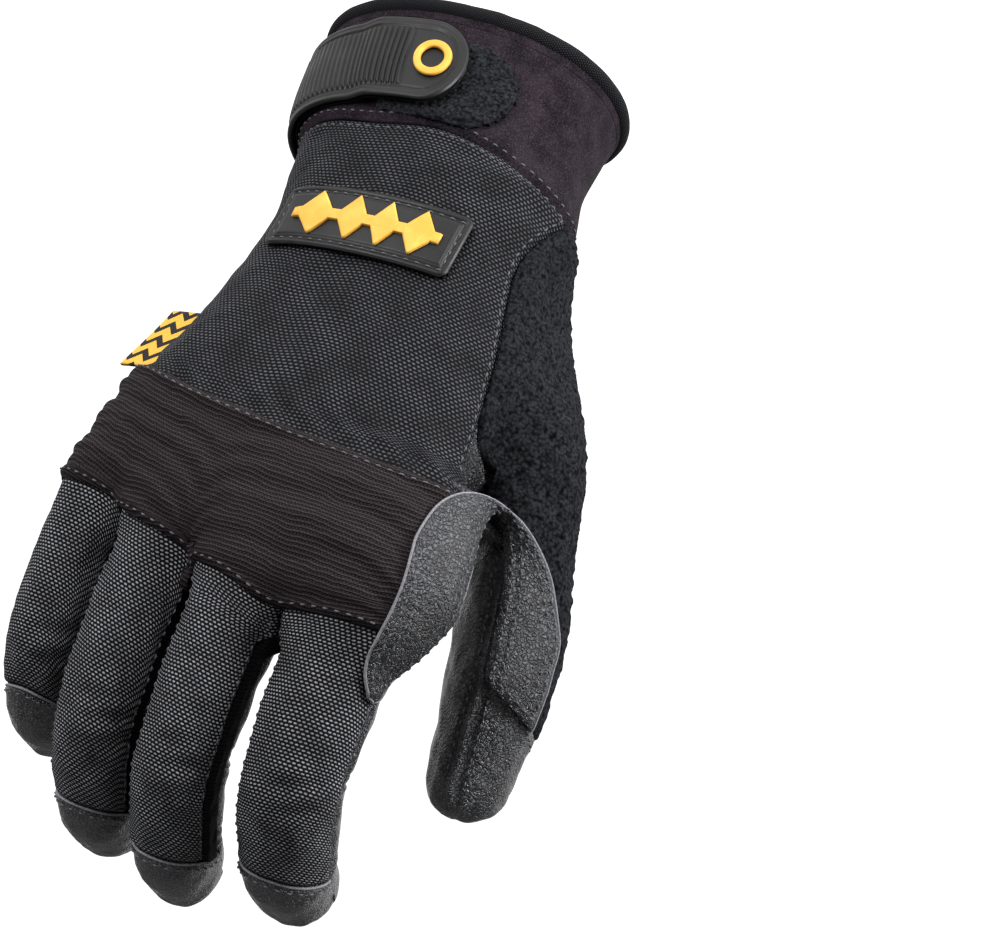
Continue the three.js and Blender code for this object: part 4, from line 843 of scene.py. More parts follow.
def finger_creases(t, u, ray, palm):
    """Folds across a finger at its two bends: sharp on the palm side, soft swells on the back."""
    out = np.zeros(t.shape)
    for k, knot in enumerate(ray.t[-3:-1]):
        for j, (shift, deep) in enumerate(((-3.2, 0.55), (0.0, 1.0), (3.4, 0.6))):
            d = t - knot - shift - 1.1 * np.sin(2.1 * u + 1.7 * k + j)
            if palm:
                out -= deep * 0.95 * np.exp(-((d / 0.85) ** 2))
            else:
                out += deep * 0.28 * np.sin(d * 1.1) * np.exp(-((d / 4.5) ** 2))
    return out



def edge_push(panel, amount=0.9, width=1.1, sides="lrbt"):
    """Seam profile along the chosen edges of a panel."""
    out = np.zeros(panel.left.shape)
    for side, d in zip("lrbt", (panel.left, panel.right, panel.low, panel.high)):
        if side in sides:
            out = out + pinch(d, amount, width, 0.12)
    return out


def inset_path(panel, side, d, lift=0.0, first=0.0, last=0.0):
    """Path at distance d mm inside one edge of a panel, with its directions, for a row of stitches."""
    table = {"l": panel.left, "r": panel.right, "b": panel.low, "t": panel.high}[side]
    axis = 1 if side in "lr" else 0
    along = table if axis == 1 else table.T
    p = panel.p if axis == 1 else panel.p.transpose(1, 0, 2)
    n = panel.n if axis == 1 else panel.n.transpose(1, 0, 2)
    if side in "rt":
        along, p, n = along[:, ::-1], p[:, ::-1], n[:, ::-1]
    path, dirs = [], []
    for row, q, m in zip(along, p, n):
        if row[-1] < d:
            continue
        path.append([np.interp(d, row, q[:, k]) for k in range(3)])
        dirs.append([np.interp(d, row, m[:, k]) for k in range(3)])
    path, dirs = np.array(path), unit(np.array(dirs))
    s = np.r_[0, np.cumsum(np.linalg.norm(np.diff(path, axis=0), axis=1))]
    pick = (s >= first) & (s <= s[-1] - last)
    return path[pick] + dirs[pick] * lift, dirs[pick]


def ring_panel(low, high, a0, a1, rows, cols, out=0.0):
    """Panel on the surface around the hand between two heights and two angles in degrees."""
    th = np.linspace(a0, a1, cols)[None] * DEG
    v = np.linspace(0, 1, rows)[:, None]
    z = lerp(low(th) if callable(low) else low, high(th) if callable(high) else high, v) + 0 * th
    th = th + 0 * z
    panel = Panel(ring(z, th))
    return panel.push(np.full(z.shape, out)).settle(), z, th


def slit_mask(p, extra):
    """True outside the wrist slit, grown by extra mm."""
    th = np.degrees(ring_angle(p)) % 360
    z = p[..., 2]
    up = np.clip((z - (SLIT_TOP - SLIT_ARCH)) / (SLIT_ARCH + extra), 0, 1)
    half = (SLIT_HALF + extra) * np.sqrt(1 - up * up)
    return (np.abs(th - SLIT_TH) * DEG * 30 > half) | (z > SLIT_TOP + extra)


def cell_mids(p):
    return 0.25 * (p[:-1, :-1] + p[1:, :-1] + p[:-1, 1:] + p[1:, 1:])


def build_palm(s):
    """Palm leather: one grid per finger ray with u from the far panel edge round to the near one,
    p = ray(t, u), t from the cuff seam to the tip, plus a leather tip over each finger end."""
    panels, rows, edges = [], [], []
    for name in ORDER:
        ray = RAYS[name]

        def start(u, ray=ray):
            return ray.station(height_on(ray, CUFF_SEAM, u, 0.0, 47.0))

        count = int((ray.end - ray.station(47)) / 1.0)
        cols = {"thumb": 60, "index": 50, "middle": 38, "ring": 38, "little": 48}[name]
        panel, t, u = strip(name, True, start, lambda u, ray=ray: ray.end + 0 * u, np.linspace(0, 1, count), cols, 10)
        z = panel.p[..., 2]
        free = t < ray.end - GUSSET_END
        webs = (0, CROTCH_Z) if name == "thumb" else FINGERS[name]["webs"]
        low_on = ease((z - webs[0] + WEB_SAG) / WEB_SAG)
        high_on = ease((z - webs[1] + WEB_SAG) / WEB_SAG) if name != "little" else np.ones(z.shape)
        if name == "thumb":
            free = ease((ray.end - t + 8) / 10)
            push = (welt(panel.right) * ease((t - 60) / 10) + welt(panel.left) * high_on) * free
        else:
            push = (pinch(panel.right, 0.8, 1.1, 0.2) * low_on + pinch(panel.left, 0.8, 1.1, 0.2) * high_on) * free
        push = push + pinch(panel.low, 1.0, 1.4, 0.2)
        if name == "thumb":
            push = push + s.wrinkle * (0.4 * wobble(panel.p * [1, 1, 0.45], 8, 5) + thumb_folds(t, u))
        else:
            push = push + s.wrinkle * finger_creases(t, u, ray, True)
            push = push + s.wrinkle * 0.3 * wobble(panel.p, 12, 3) * ease((t - ray.turn + 12) / 14)
        push = push + s.wrinkle * 0.25 * wobble(panel.p, 19, 7)
        panel.push(push).settle()
        if name == "little":
            panel.keep = slit_mask(cell_mids(panel.p), 0.9)
        panels.append(panel)
        if name == "thumb":
            rows.append(inset_path(panel, "l", 2.1, 0.1, 70, 14))
            rows.append(inset_path(panel, "r", 2.1, 0.1, 4, 14))
            continue
        w = np.linspace(0, 1, 40)[None]
        cu = lerp(EDGES[name][2], EDGES[name][3], w) * DEG
        over = ray.end + ray.dome * np.sin(np.linspace(0, 90, 14)[1:, None] * DEG)
        t = np.concatenate([lerp(cap_seam(name, cu), ray.end, np.linspace(0, 1, 18)[:, None]), over + 0 * cu])
        cap = Panel(ray.surface(t, cu + 0 * t))
        cap.push(0.25 * s.wrinkle * wobble(cap.p, 7, 11) * ease(cap.low / 4) + pinch(cap.low, 0.5, 0.8, 0.25)).settle()
        panels.append(cap)
        rows.append(inset_path(cap, "b", 1.9, 0.05, 1.5, 1.5))
        edges.append(inset_path(cap, "b", 0.35, 0.05, 0, 0))
    panels += web_panels()
    palm = mesh_object("palm", panels, look("leather"), LEATHER)
    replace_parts(palm, "palm_leather")
    stitches("palm_thread", rows, look("thread"), "leather", s)
    cords("tip_cut_edges", edges, 0.3, 0.3)


def cords(name, rows, wide, high):
    """Thin pale cut edges of leather along paths."""
    verts, faces, base = [], [], 0
    for path, dirs in rows:
        v, f = tube_along(path, dirs, wide, high, False, 8)
        verts.append(v)
        faces.append(f + base)
        base += len(v)
    return raw_object(name, np.concatenate(verts), np.concatenate(faces), look("suede"))


def thumb_folds(t, u):
    """Folds around the thumb's joint and base."""
    out = np.zeros(t.shape)
    for at, deep in ((74.0, 0.5), (78.5, 0.7), (83.5, 0.55), (52.0, 0.5), (57.0, 0.6)):
        d = t - at - 2.2 * np.sin(1.3 * u + at)
        out -= deep * np.exp(-((d / 1.3) ** 2)) * (0.6 + 0.4 * np.sin(2 * u + at))
    return out


def web_panels():
    """Leather web between thumb and index, sagging between their sides, and the leather behind their seam."""
    thumb, index = RAYS["thumb"], RAYS["index"]
    v, w = np.linspace(0, 1, 26), np.linspace(0, 1, 18)[None, :, None]
    a = thumb.surface(thumb.station(CROTCH_Z + 1.5 + 0 * v), lerp(12, 118, v) * DEG)
    b = index.surface(index.station(CROTCH_Z + 1.5 + 0 * v), lerp(-55, -132, v) * DEG)
    p = lerp(a[:, None], b[:, None], lerp(-0.04, 1.04, w))
    p[..., 2] -= 3.0 * (4 * w * (1 - w))[..., 0]
    web = Panel(p)
    if web.n[..., 2].mean() < 0:
        web = Panel(p[:, ::-1])
    z = np.linspace(60, CROTCH_Z + 2, 60)
    a = thumb.surface(thumb.station(z), edge_angle("thumb", 1, thumb.station(z), False) - 0.12)
    b = index.surface(index.station(z), edge_angle("index", -1, index.station(z), False) + 0.12)
    behind = Panel(lerp(a[:, None], b[:, None], np.linspace(0, 1, 6)[None, :, None]))
    return [web, behind.push(0 * behind.left - 1.0)]


def back_angles():
    """Ring angles of the radial and ulnar seams of the back, for each height."""
    index, little = RAYS["index"], RAYS["little"]
    t = index.station(HEIGHTS)
    left = ring_angle(index.surface(t, edge_angle("index", -1, t, False)))
    right = ring_angle(little.surface(little.station(HEIGHTS), ULNAR_SEAM * DEG))
    return left, right


def build_back(s):
    """Back panel: p = ring(z, theta) between the radial and ulnar seams, from the cuff seam to the knuckle
    band, with soft folds of the cloth h = sum of sines."""
    left, right = back_angles()
    v, w = np.linspace(0, 1, 110)[:, None], np.linspace(0, 1, 130)[None]
    z = lerp(41, 121, v) + 0 * w
    for _ in range(5):
        th = lerp(np.interp(z, HEIGHTS, left), np.interp(z, HEIGHTS, right), w)
        z = lerp(seam(CUFF_SEAM, th), seam(BAND_TOP, th) + PANEL_LAP, v)
    panel = Panel(ring(z, th))
    push = edge_push(panel, 0.9, 1.2, "lrb")
    fold = 0.45 * wobble(panel.p * [1, 1, 0.5], 21, 21, 2) + 0.2 * wobble(panel.p, 8, 22, 2)
    pull = 0.5 * np.sin(panel.left * 0.62 + 2.2 * np.sin(z * 0.11)) * np.exp(-panel.high / 7)
    sag = 0.5 * np.sin(z * 0.55 + 0.9 * np.sin(panel.left * 0.16)) * np.exp(-panel.low / 7)
    panel.push(push + s.wrinkle * (fold + pull + sag) * ease(panel.low / 3)).settle()
    # The back panel takes the darker copy of the woven nylon: painted shade.
    back = mesh_object("back_panel_cloth", [panel], look("woven"), WOVEN)
    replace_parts(back, "back_panel")
    rows = [inset_path(panel, "l", 1.9, 0.05, 2, 6), inset_path(panel, "b", 1.9, 0.05, 2, 2)]
    stitches("back_thread", rows, look("thread"), "woven_nylon", s)


def build_band(s):
    """Knuckle band: over each finger ray between two seams, h = gathers growing toward the little finger
    edge + fine wrinkles along the band."""
    grids, joints = [], []
    for name in FINGER_NAMES:
        ray = RAYS[name]

        def start(u, ray=ray):
            return ray.station(height_on(ray, BAND_TOP, u, 0, 122.0))

        def stop(u, ray=ray):
            return ray.station(height_on(ray, BAND_LOW, u, 0, 155.0))

        cols = 56 if name in ("index", "little") else 40
        panel = strip(name, False, start, stop, np.linspace(0, 1, 80), cols, 0, False)[0]
        grids.append(panel.p[:, 1:] if grids else panel.p)
        joints.append(sum(g.shape[1] for g in grids) - 1)
    p = np.concatenate(grids, 1)
    near = np.min([np.abs(np.arange(p.shape[1]) - j) for j in joints[:-1]], 0)
    soft = np.clip(1 - near / 7, 0, 1)[None, 1:-1, None]
    for _ in range(14):
        p[:, 1:-1] += soft * 0.5 * (0.5 * (p[:, :-2] + p[:, 2:]) - p[:, 1:-1])
    panel = Panel(p)
    share = panel.low / np.maximum(panel.low[-1:], 1)
    run = panel.left / panel.left[:, -1:]
    gather = 1.3 * (np.abs(np.sin(math.pi * 3.5 * share)) - 0.55) * np.exp(-panel.right / 9)
    gather = gather + 0.5 * (np.abs(np.sin(math.pi * 3.2 * share + 0.3)) - 0.5) * np.exp(-panel.left / 8)
    bow = share * 32 + 3.4 * np.sin(3.3 * run + 0.5) + 1.2 * np.sin(9 * run)
    folds = sum(a * np.sin(bow * k + 1.7 * np.sin(5 * run + q)) * (0.55 + 0.45 * np.sin(6.5 * run + q * 2))
                for a, k, q in ((0.5, 0.62, 0.3), (0.34, 1.13, 1.9), (0.18, 2.1, 4.0)))
    fine = 0.12 * wobble(panel.p * [0.4, 0.4, 1.5], 6, 31, 3)
    rim = pinch(panel.low, 1.0, 0.8, 0.35) + pinch(panel.high, 1.0, 0.8, 0.3)
    calm = ease(panel.low / 2) * ease(panel.high / 2)
    panel.push(BAND_OUT - 0.25 + rim + s.wrinkle * (gather + (folds + fine) * calm)).settle()
    rows = [inset_path(panel, side, 1.7, 0.05) for side in "bt"]
    band = mesh_object("knuckle_band_knit", [panel], look("ribbed"), BAND_THICK)
    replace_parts(band, "knuckle_band")
    stitches("band_thread", rows, look("thread"), "ribbed_knit", s)


def build_finger_backs(s):
    """Finger backs: p = ray(t, u) between the side seams, from under the band to the leather tip."""
    rows = []
    for name in FINGER_NAMES:
        ray = RAYS[name]

        def start(u, ray=ray):
            return ray.station(height_on(ray, BAND_LOW, u, PANEL_LAP, 155.0))

        panel, t, u = strip(name, False, start, lambda u, name=name: cap_seam(name, u), np.linspace(0, 1, 90), 48)
        push = edge_push(panel, 0.8, 1.0, "lrt")
        fold = finger_creases(t, u, ray, False) + 0.3 * wobble(panel.p, 11, 41, 2) + 0.14 * wobble(panel.p, 4.5, 42, 2)
        panel.push(push + s.wrinkle * fold * ease(panel.high / 3)).settle()
        # The finger backs take the paler copy of the woven nylon: painted light.
        cloth = mesh_object(f"finger_back_{name}_cloth", [panel], look("finger_woven_painted_light"), WOVEN)
        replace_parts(cloth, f"finger_back_{name}")
        rows += [inset_path(panel, "l", 1.8, 0.05, 6, 3), inset_path(panel, "r", 1.8, 0.05, 6, 3)]
    stitches("finger_thread", rows, look("thread"), "woven_nylon", s)


def gusset_side(name, sign, web):
    """Side strip of one finger, rows from the web to the tip seam, columns from palm to back."""
    ray = RAYS[name]
    a, b = (EDGES[name][3], EDGES[name][1]) if sign > 0 else (EDGES[name][2], EDGES[name][0])
    u = np.linspace(a, b, 16)[None] * DEG
    t = lerp(ray.station(web), cap_seam(name, u), np.linspace(0, 1, 60)[:, None])
    return ray.surface(t, u)


def build_gussets(s):
    """Strips between the fingers: down the side of one, over the web as a parabola and up the other."""
    for left, right in zip(FINGER_NAMES, FINGER_NAMES[1:]):
        web = FINGERS[left]["webs"][1]
        a, b = gusset_side(left, 1, web), gusset_side(right, -1, web)
        ray = RAYS[left]
        t = ray.station(np.array([web - WEB_SAG]))
        back = ray.surface(t, edge_angle(left, 1, t, False))[0]
        palm = ray.surface(t, edge_angle(left, 1, t, True))[0]
        w = np.linspace(0, 1, 16)[:, None]
        mid = lerp(palm, back, lerp(0.06, 0.94, w))
        ctrl = 2 * mid - 0.5 * (a[0] + b[0])
        q = np.linspace(0, 1, 14)[1:-1, None, None]
        bridge = (1 - q) ** 2 * a[0] + 2 * q * (1 - q) * ctrl + q**2 * b[0]
        panel = Panel(np.concatenate([a[::-1], bridge, b]))
        panel.push(edge_push(panel, 0.5, 0.9, "lr") + 0.15 * s.wrinkle * wobble(panel.p, 6, 51)).settle()
        name = f"gusset_{left}_{right}"
        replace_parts(mesh_object(f"{name}_knit", [panel], look("knit"), WOVEN), name)


def build_thumb(s):
    """Thumb side: terry strip, leather tip and their seam, p = ray(t, u) on the back of the thumb ray."""
    ray = RAYS["thumb"]

    def start(u):
        return ray.station(height_on(ray, CUFF_SEAM, u, 0, 47.0))

    panel, t, u = strip("thumb", False, start, thumb_seam, np.linspace(0, 1, 150), 110)
    pile = 0.28 * wobble(panel.p, 2.3, 61, 3) + 0.25 * wobble(panel.p, 6, 62, 2)
    fold = 0.6 * wobble(panel.p * [1, 1, 0.6], 16, 63, 2)
    rim = edge_push(panel, 1.2, 1.3, "lrbt")
    panel.push(TERRY_PROUD + rim + (pile + s.wrinkle * fold) * ease(panel.low / 3) * ease(panel.high / 2)).settle()
    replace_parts(mesh_object("thumb_terry_pile", [panel], look("terry"), TERRY), "thumb_terry")

    w = np.linspace(0, 1, 56)[None]
    u = lerp(EDGES["thumb"][0], EDGES["thumb"][1], w) * DEG
    over = ray.end + ray.dome * np.sin(np.linspace(0, 90, 14)[1:, None] * DEG)
    t = np.concatenate([lerp(thumb_seam(u), ray.end, np.linspace(0, 1, 50)[:, None]), over + 0 * u])
    cap = Panel(ray.surface(t, u + 0 * t))
    on = ease((ray.end - t + 8) / 10)
    ridge = (welt(cap.left) + welt(cap.right)) * on
    cap.push(ridge + s.wrinkle * (0.35 * wobble(cap.p, 9, 65) + 0.6 * thumb_folds(t, u + 0 * t))).settle()
    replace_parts(mesh_object("thumb_cap_leather", [cap], look("leather"), LEATHER), "thumb_cap")
    rows = [inset_path(cap, "b", 1.9, 0.05, 1, 1)]
    rows += [inset_path(cap, side, 2.8, 0.05, 4, 12) for side in "lr"]
    stitches("thumb_thread", rows, look("thread"), "leather", s)


def welt(d):
    """Raised seam: the edges of two leathers turned up and stitched, with a groove beside it."""
    return 0.95 * np.exp(-((d / 0.8) ** 2)) - 0.45 * np.exp(-(((d - 2.0) / 0.6) ** 2))


def patch_rows():
    """Control rows of the crotch patch: along the index side, over the saddle and up the thumb."""
    index, thumb = RAYS["index"], RAYS["thumb"]
    w = np.linspace(0, 1, 9)
    rows = []
    for v in (1, 0.97, 0.93, 0.87, 0.8, 0.68, 0.55, 0.42, 0.32):
        t = lerp(index.station(CROTCH_Z + 2), index.station(166) + 2.5, v)
        half = 22 * math.sqrt(max(1 - max((v - 0.8) / 0.2, 0) ** 2, 0.04))
        u = lerp(-72 + half * 1.3, -72 - half * (0.85 + 0.35 * v), w) * DEG
        q = index.surface(np.full(9, t), u)
        d = unit(q - index.frame(np.full(9, t))[0])
        over = lerp(PATCH_OVER_BAND - 0.8 * (1 - w), PATCH_OVER_BACK, ease((q[0, 2] - 158) / 6))
        rows.append(q + d * over[:, None])
    t = index.station(np.array([CROTCH_Z - WEB_SAG]))
    a = index.surface(t, edge_angle("index", -1, t, False))
    b = index.surface(t, edge_angle("index", -1, t, True))
    out = unit((a - index.frame(t)[0]) * [1, 1, 0])
    mid = lerp(a, b, 0.3 * w[:, None]) + out * (1 - w[:, None]) * (PATCH_OVER_BAND - 0.8)
    mid[:, 2] += PATCH_OVER_TERRY - 0.4 + 1.4 * w
    t0 = thumb.station(CROTCH_Z + 2)
    saddle = len(rows)
    for v in (0.28, 0.38, 0.5, 0.62, 0.75, 0.88, 1):
        u = lerp(lerp(0, -34, min(v * 2.2, 1)), 39, w) * DEG
        t = lerp(t0, thumb_seam(u) + 1.4, v)
        q = thumb.surface(t, u)
        rows.append(q + unit(q - thumb.frame(t)[0]) * (PATCH_OVER_TERRY - 0.5 * v))
    a, b = rows[saddle - 1], rows[saddle]
    low = (4 * mid - 0.5 * (a + b)) / 3
    low_a = lerp(low, a + np.c_[0 * w, 0 * w, (low - a)[:, 2]], 0.72)
    low_b = lerp(low, b + np.c_[0 * w, 0 * w, (low - b)[:, 2]], 0.72)
    arch = [(1 - q) ** 3 * a + 3 * q * (1 - q) ** 2 * low_a + 3 * q * q * (1 - q) * low_b + q**3 * b
            for q in (0.14, 0.28, 0.42, 0.58, 0.72, 0.86)]
    return np.array(rows[:saddle] + arch + rows[saddle:])


def build_patch(s):
    """Crotch patch: smooth curves through control rows, a pale cut edge and double stitching."""
    ctrl = patch_rows()
    at = np.r_[0, np.cumsum(np.linalg.norm(np.diff(ctrl[:, 4], axis=0), axis=1))]
    fine = np.linspace(0, at[-1], 150)
    p = np.stack([hermite(fine, at, ctrl[:, j]) for j in range(9)], 1)
    cols = np.linspace(0, 8, 36)
    p = np.stack([hermite(cols, np.arange(9), row) for row in p])
    panel = Panel(p)
    rim = edge_push(panel, 0.3, 0.8)
    panel.push(rim + 0.12 * s.wrinkle * wobble(p, 7, 71)).settle()
    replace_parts(mesh_object("crotch_patch_leather", [panel], look("leather"), PATCH_THICK), "crotch_patch")
    leg = int(0.36 * len(panel.p))
    loop = np.concatenate([panel.p[leg:0:-1, -1], panel.p[0, ::-1], panel.p[1:, 0]])
    dirs = np.concatenate([panel.n[leg:0:-1, -1], panel.n[0, ::-1], panel.n[1:, 0]])
    v, f = tube_along(loop - dirs * 0.35, dirs, 0.36, 0.5, False, 8)
    raw_object("patch_cut_edge", v, f, look("suede"))
    rows = [inset_path(panel, side, d, 0.05, 2, 2) for side in "lr" for d in (1.9, 4.1)]
    rows += [inset_path(panel, "t", 1.9, 0.05, 2, 2), inset_path(panel, "b", 1.9, 0.05, 1, 1)]
    stitches("patch_thread", rows, look("thread"), "leather", s)


def build_cuff(s):
    """Neoprene cuff: p = ring(z, theta) as a closed wall that leaves out the slit, and its knit binding,
    an oval cord swept around the rim."""
    half = SLIT_HALF / 30 / DEG
    low = SLIT_LOW

    def top(th):
        return seam(CUFF_SEAM, (th + math.pi) % (2 * math.pi) - math.pi)

    wall, _, th = ring_panel(low, top, SLIT_TH + half, SLIT_TH + 360 - half, 70, 240)
    wave = 0.5 * wobble(wall.p * [1, 1, 0.6], 24, 81, 2) * ease(wall.low / 8)
    wall.push(edge_push(wall, 0.8, 1.2, "t") + edge_push(wall, 0.4, 1.0, "lr") + s.wrinkle * wave).settle()
    foot = ring_panel(CUFF_FOOT, low, SLIT_TH - 180, SLIT_TH + 180, 8, 240)[0]
    cuff = mesh_object("cuff_neoprene", [wall, foot], look("neoprene"), NEOPRENE)
    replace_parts(cuff, "cuff")
    rows = [inset_path(wall, "t", 2.2, 0.05, 1, 1)]
    rows += [inset_path(wall, side, 2.0, 0.05, 2, 2) for side in "lr"]
    stitches("cuff_thread", rows, look("thread"), "neoprene", s)

    a = np.linspace(-180, 180, 260, endpoint=False) * DEG
    rim = ring(np.full(a.shape, 2.4), a)
    centre = hermite(np.full(a.shape, 2.4), SECTIONS[:, 0], SECTIONS[:, 1:3])
    out = unit(np.c_[rim[:, :2] - centre, 0 * a])
    path = rim - out * (NEOPRENE / 2)
    path[:, 2] += 0.15 * wobble(path, 9, 82)
    v, f = tube_along(path, out, 2.35, NEOPRENE / 2 + GAP + 1.0, True, 28)
    uv = np.c_[np.tile(np.arange(28) * 0.55, len(path)), np.repeat(np.arange(len(path)) * 0.82, 28)]
    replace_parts(raw_object("cuff_binding_knit", v, f, look("binding"), uv), "cuff_binding")


def build_slit(s):
    """Slit on the palm side: a gathered knit sheet behind it and a rolled leather edge around its top."""
    z, w = np.linspace(SLIT_LOW - 1.6, SLIT_TOP + 3.6, 90)[:, None], np.linspace(-1, 1, 40)[None]
    up = np.clip((z - (SLIT_TOP - SLIT_ARCH)) / (SLIT_ARCH + 4), 0, 0.995)
    th = SLIT_TH * DEG + w * (SLIT_HALF + 4) * np.sqrt(1 - up * up) / 30
    panel = Panel(ring(z + 0 * w, th))
    gather = 0.55 * np.sin(z * 1.9 + 1.2 * np.sin(w * 2.4)) * (1 - w**2) + 0.25 * wobble(panel.p, 5, 91)
    panel.push(-(NEOPRENE + GAP) + s.wrinkle * gather).settle()
    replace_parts(mesh_object("slit_gusset_knit", [panel], look("knit"), KNIT), "slit_gusset")
    a = np.linspace(0, math.pi, 70)
    zz = np.where(np.sin(a) > 0, SLIT_TOP - SLIT_ARCH + (SLIT_ARCH + 1.4) * np.sin(a), 0)
    side = -np.cos(a)
    legs = np.linspace(CUFF_SEAM_AT_SLIT + 1.5, SLIT_TOP - SLIT_ARCH, 10)
    zz = np.concatenate([legs, zz, legs[::-1]])
    side = np.concatenate([np.full(10, -1), side, np.full(10, 1)])
    th = SLIT_TH * DEG + side * (SLIT_HALF + 1.4) / 30
    p = ring(zz, th)
    dz = ring(zz + 0.3, th) - ring(zz - 0.3, th)
    da = ring(zz, th + 0.01) - ring(zz, th - 0.01)
    n = unit(np.cross(da, dz))
    v, f = tube_along(p + n * 0.45, n, 1.25, 0.85, False, 14)
    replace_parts(raw_object("slit_binding_leather", v, f, look("leather")), "slit_binding")
    stitches("slit_thread", [(p + n * 1.25, n)], look("thread"), "leather", s)


def strap_place(th, across, proud):
    """Point of the strap at ring angle th, across mm from its middle line, proud of its own face."""
    share = np.clip(th / DEG / 180, 0, 1)
    z = lerp(STRAP["back_z"], STRAP["palm_z"], share) + across
    lift = ease((LOOP["stop"] + 16 - th / DEG) / 14)
    off = GAP + 0.05 + STRAP["thick"] + lift * (LOOP["thick"] + GAP)
    return outward(z, th, off + proud)


def outward(z, th, off):
    """Point at a distance off the surface around the hand."""
    p = ring(z, th)
    dz = ring(z + 0.4, th) - ring(z - 0.4, th)
    da = ring(z, th + 0.02) - ring(z, th - 0.02)
    return p + unit(np.cross(da, dz)) * np.asarray(off)[..., None]


def rounded_slab(place, half, span, rows, cols, relief, thick, name, key, slot, rim=0.5):
    """Moulded strip: rows along its length with half-round ends, h = relief(along, across, edge distance),
    and its side faces rounded over."""
    ends = half * (1 - np.cos(np.linspace(0, math.pi / 2, 26)))
    d = np.concatenate([ends[1:], np.linspace(half, span - half, rows)[1:-1], (span - ends[1:])[::-1]])[:, None]
    w = np.linspace(-1, 1, cols)[None]
    w = np.sign(w) * (1 - (1 - np.abs(w)) ** 1.25)
    near = np.minimum(d, span - d)
    wide = half * np.sqrt(np.clip(1 - np.clip(1 - near / half, 0, 1) ** 2, 0, 1))
    across = w * wide
    inner = np.clip(half - near, 0, None)
    edge = half - np.hypot(inner, np.abs(across))
    edge = np.minimum(edge, half - np.abs(across))
    h = relief(d + 0 * w, across, edge) - rim * (1 - np.sqrt(np.clip(1 - (1 - np.clip(edge / rim, 0, 1)) ** 2, 0, 1)))
    panel = Panel(place(d + 0 * w, across, h)[:, ::-1])
    return mesh_object(name, [panel], look(key), thick)


def build_strap(s):
    """Rubber strap with a raised border, a stitched groove and cross ribs, its loop patch and ring emblem."""
    r = STRAP["radius"]
    span = (STRAP["palm_end"] - STRAP["back_end"]) * DEG * r

    def place(d, across, h):
        return strap_place(STRAP["back_end"] * DEG + d / r, across, h)

    def relief(d, across, edge):
        th = STRAP["back_end"] + d / r / DEG
        border = 0.42 * ease((edge - 0.1) / 0.5) * ease((3.0 - edge) / 0.6)
        groove = -0.28 * np.exp(-(((edge - 1.7) / 0.4) ** 2))
        k = (th - RIB["start"] + RIB["step"] / 2) % RIB["step"] - RIB["step"] / 2
        on = (th > RIB["start"] - 2) & (th < RIB["stop"] + 2)
        ribs = RIB["high"] * ease((RIB["width"] / 2 + 0.2 - np.abs(k) * DEG * r) / 0.4) * on
        ribs = ribs * ease((RIB["half"] - np.abs(across)) / 0.6)
        frame_line = -0.35 * np.exp(-(((edge - 3.1) / 0.28) ** 2))
        return border + groove + ribs + frame_line

    size = (STRAP["half"], span, 640, 56)
    strap = rounded_slab(place, *size, relief, STRAP["thick"], "strap_rubber", "rubber", "rubber", 0.35)
    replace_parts(strap, "strap")
    d = np.linspace(STRAP["half"], span - STRAP["half"], 300)
    inset = STRAP["half"] - 1.7
    a = np.linspace(-90, 90, 60)[1:-1] * DEG
    along = np.concatenate([d, span - STRAP["half"] + inset * np.cos(a), d[::-1], STRAP["half"] - inset * np.cos(a)])
    across = np.concatenate([0 * d - inset, inset * np.sin(a), 0 * d + inset, inset * np.sin(a[::-1])])
    low = place(along, across, -0.25 + 0 * along)
    dirs = unit(place(along, across, 1 + 0 * along) - place(along, across, 0 * along))
    stitches("strap_thread", [(low, dirs)], look("thread"), "rubber", s)

    a = np.linspace(0, 2 * math.pi, 97)[None]
    q = np.linspace(0, 1, 13)[:, None]
    radius = lerp(EMBLEM["outer"], EMBLEM["inner"], q)
    h = GAP + EMBLEM["high"] * np.sqrt(np.clip(1 - (2 * q - 1) ** 4, 0, 1))
    th = (STRAP["back_end"] + EMBLEM["from_end"]) * DEG + radius * np.cos(a) / r
    panel = Panel(strap_place(th, radius * np.sin(a), h + 0 * a))
    if (panel.n @ np.array([0, -1, 0])).mean() < 0:
        panel = Panel(panel.p[:, ::-1])
    ring_obj = mesh_object("emblem_ring", [panel], look("yellow"), EMBLEM["high"])
    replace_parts(ring_obj, "strap_emblem")

    lo, hi = LOOP["low"], LOOP["high"]
    d = np.linspace(0, 1, 120)[:, None]
    w = np.linspace(-1, 1, 80)[None]
    length = (LOOP["stop"] - LOOP["start"]) * DEG * r
    near = d * length
    wide = (hi - lo) / 2 * np.sqrt(np.clip(1 - np.clip(1 - near / 14, 0, 1) ** 2, 0.03, 1))
    th = lerp(LOOP["start"], LOOP["stop"], d) * DEG + 0 * w
    z = (hi + lo) / 2 + w * wide
    panel = Panel(outward(z, th, GAP + LOOP["thick"] + 0 * z)[:, ::-1])
    pile = 0.3 * wobble(panel.p, 1.9, 101, 3) + 0.12 * wobble(panel.p, 5, 102, 2)
    panel.push(edge_push(panel, 0.7, 0.9) + pile).settle()
    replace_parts(mesh_object("loop_patch_pile", [panel], look("terry"), LOOP["thick"]), "loop_patch")


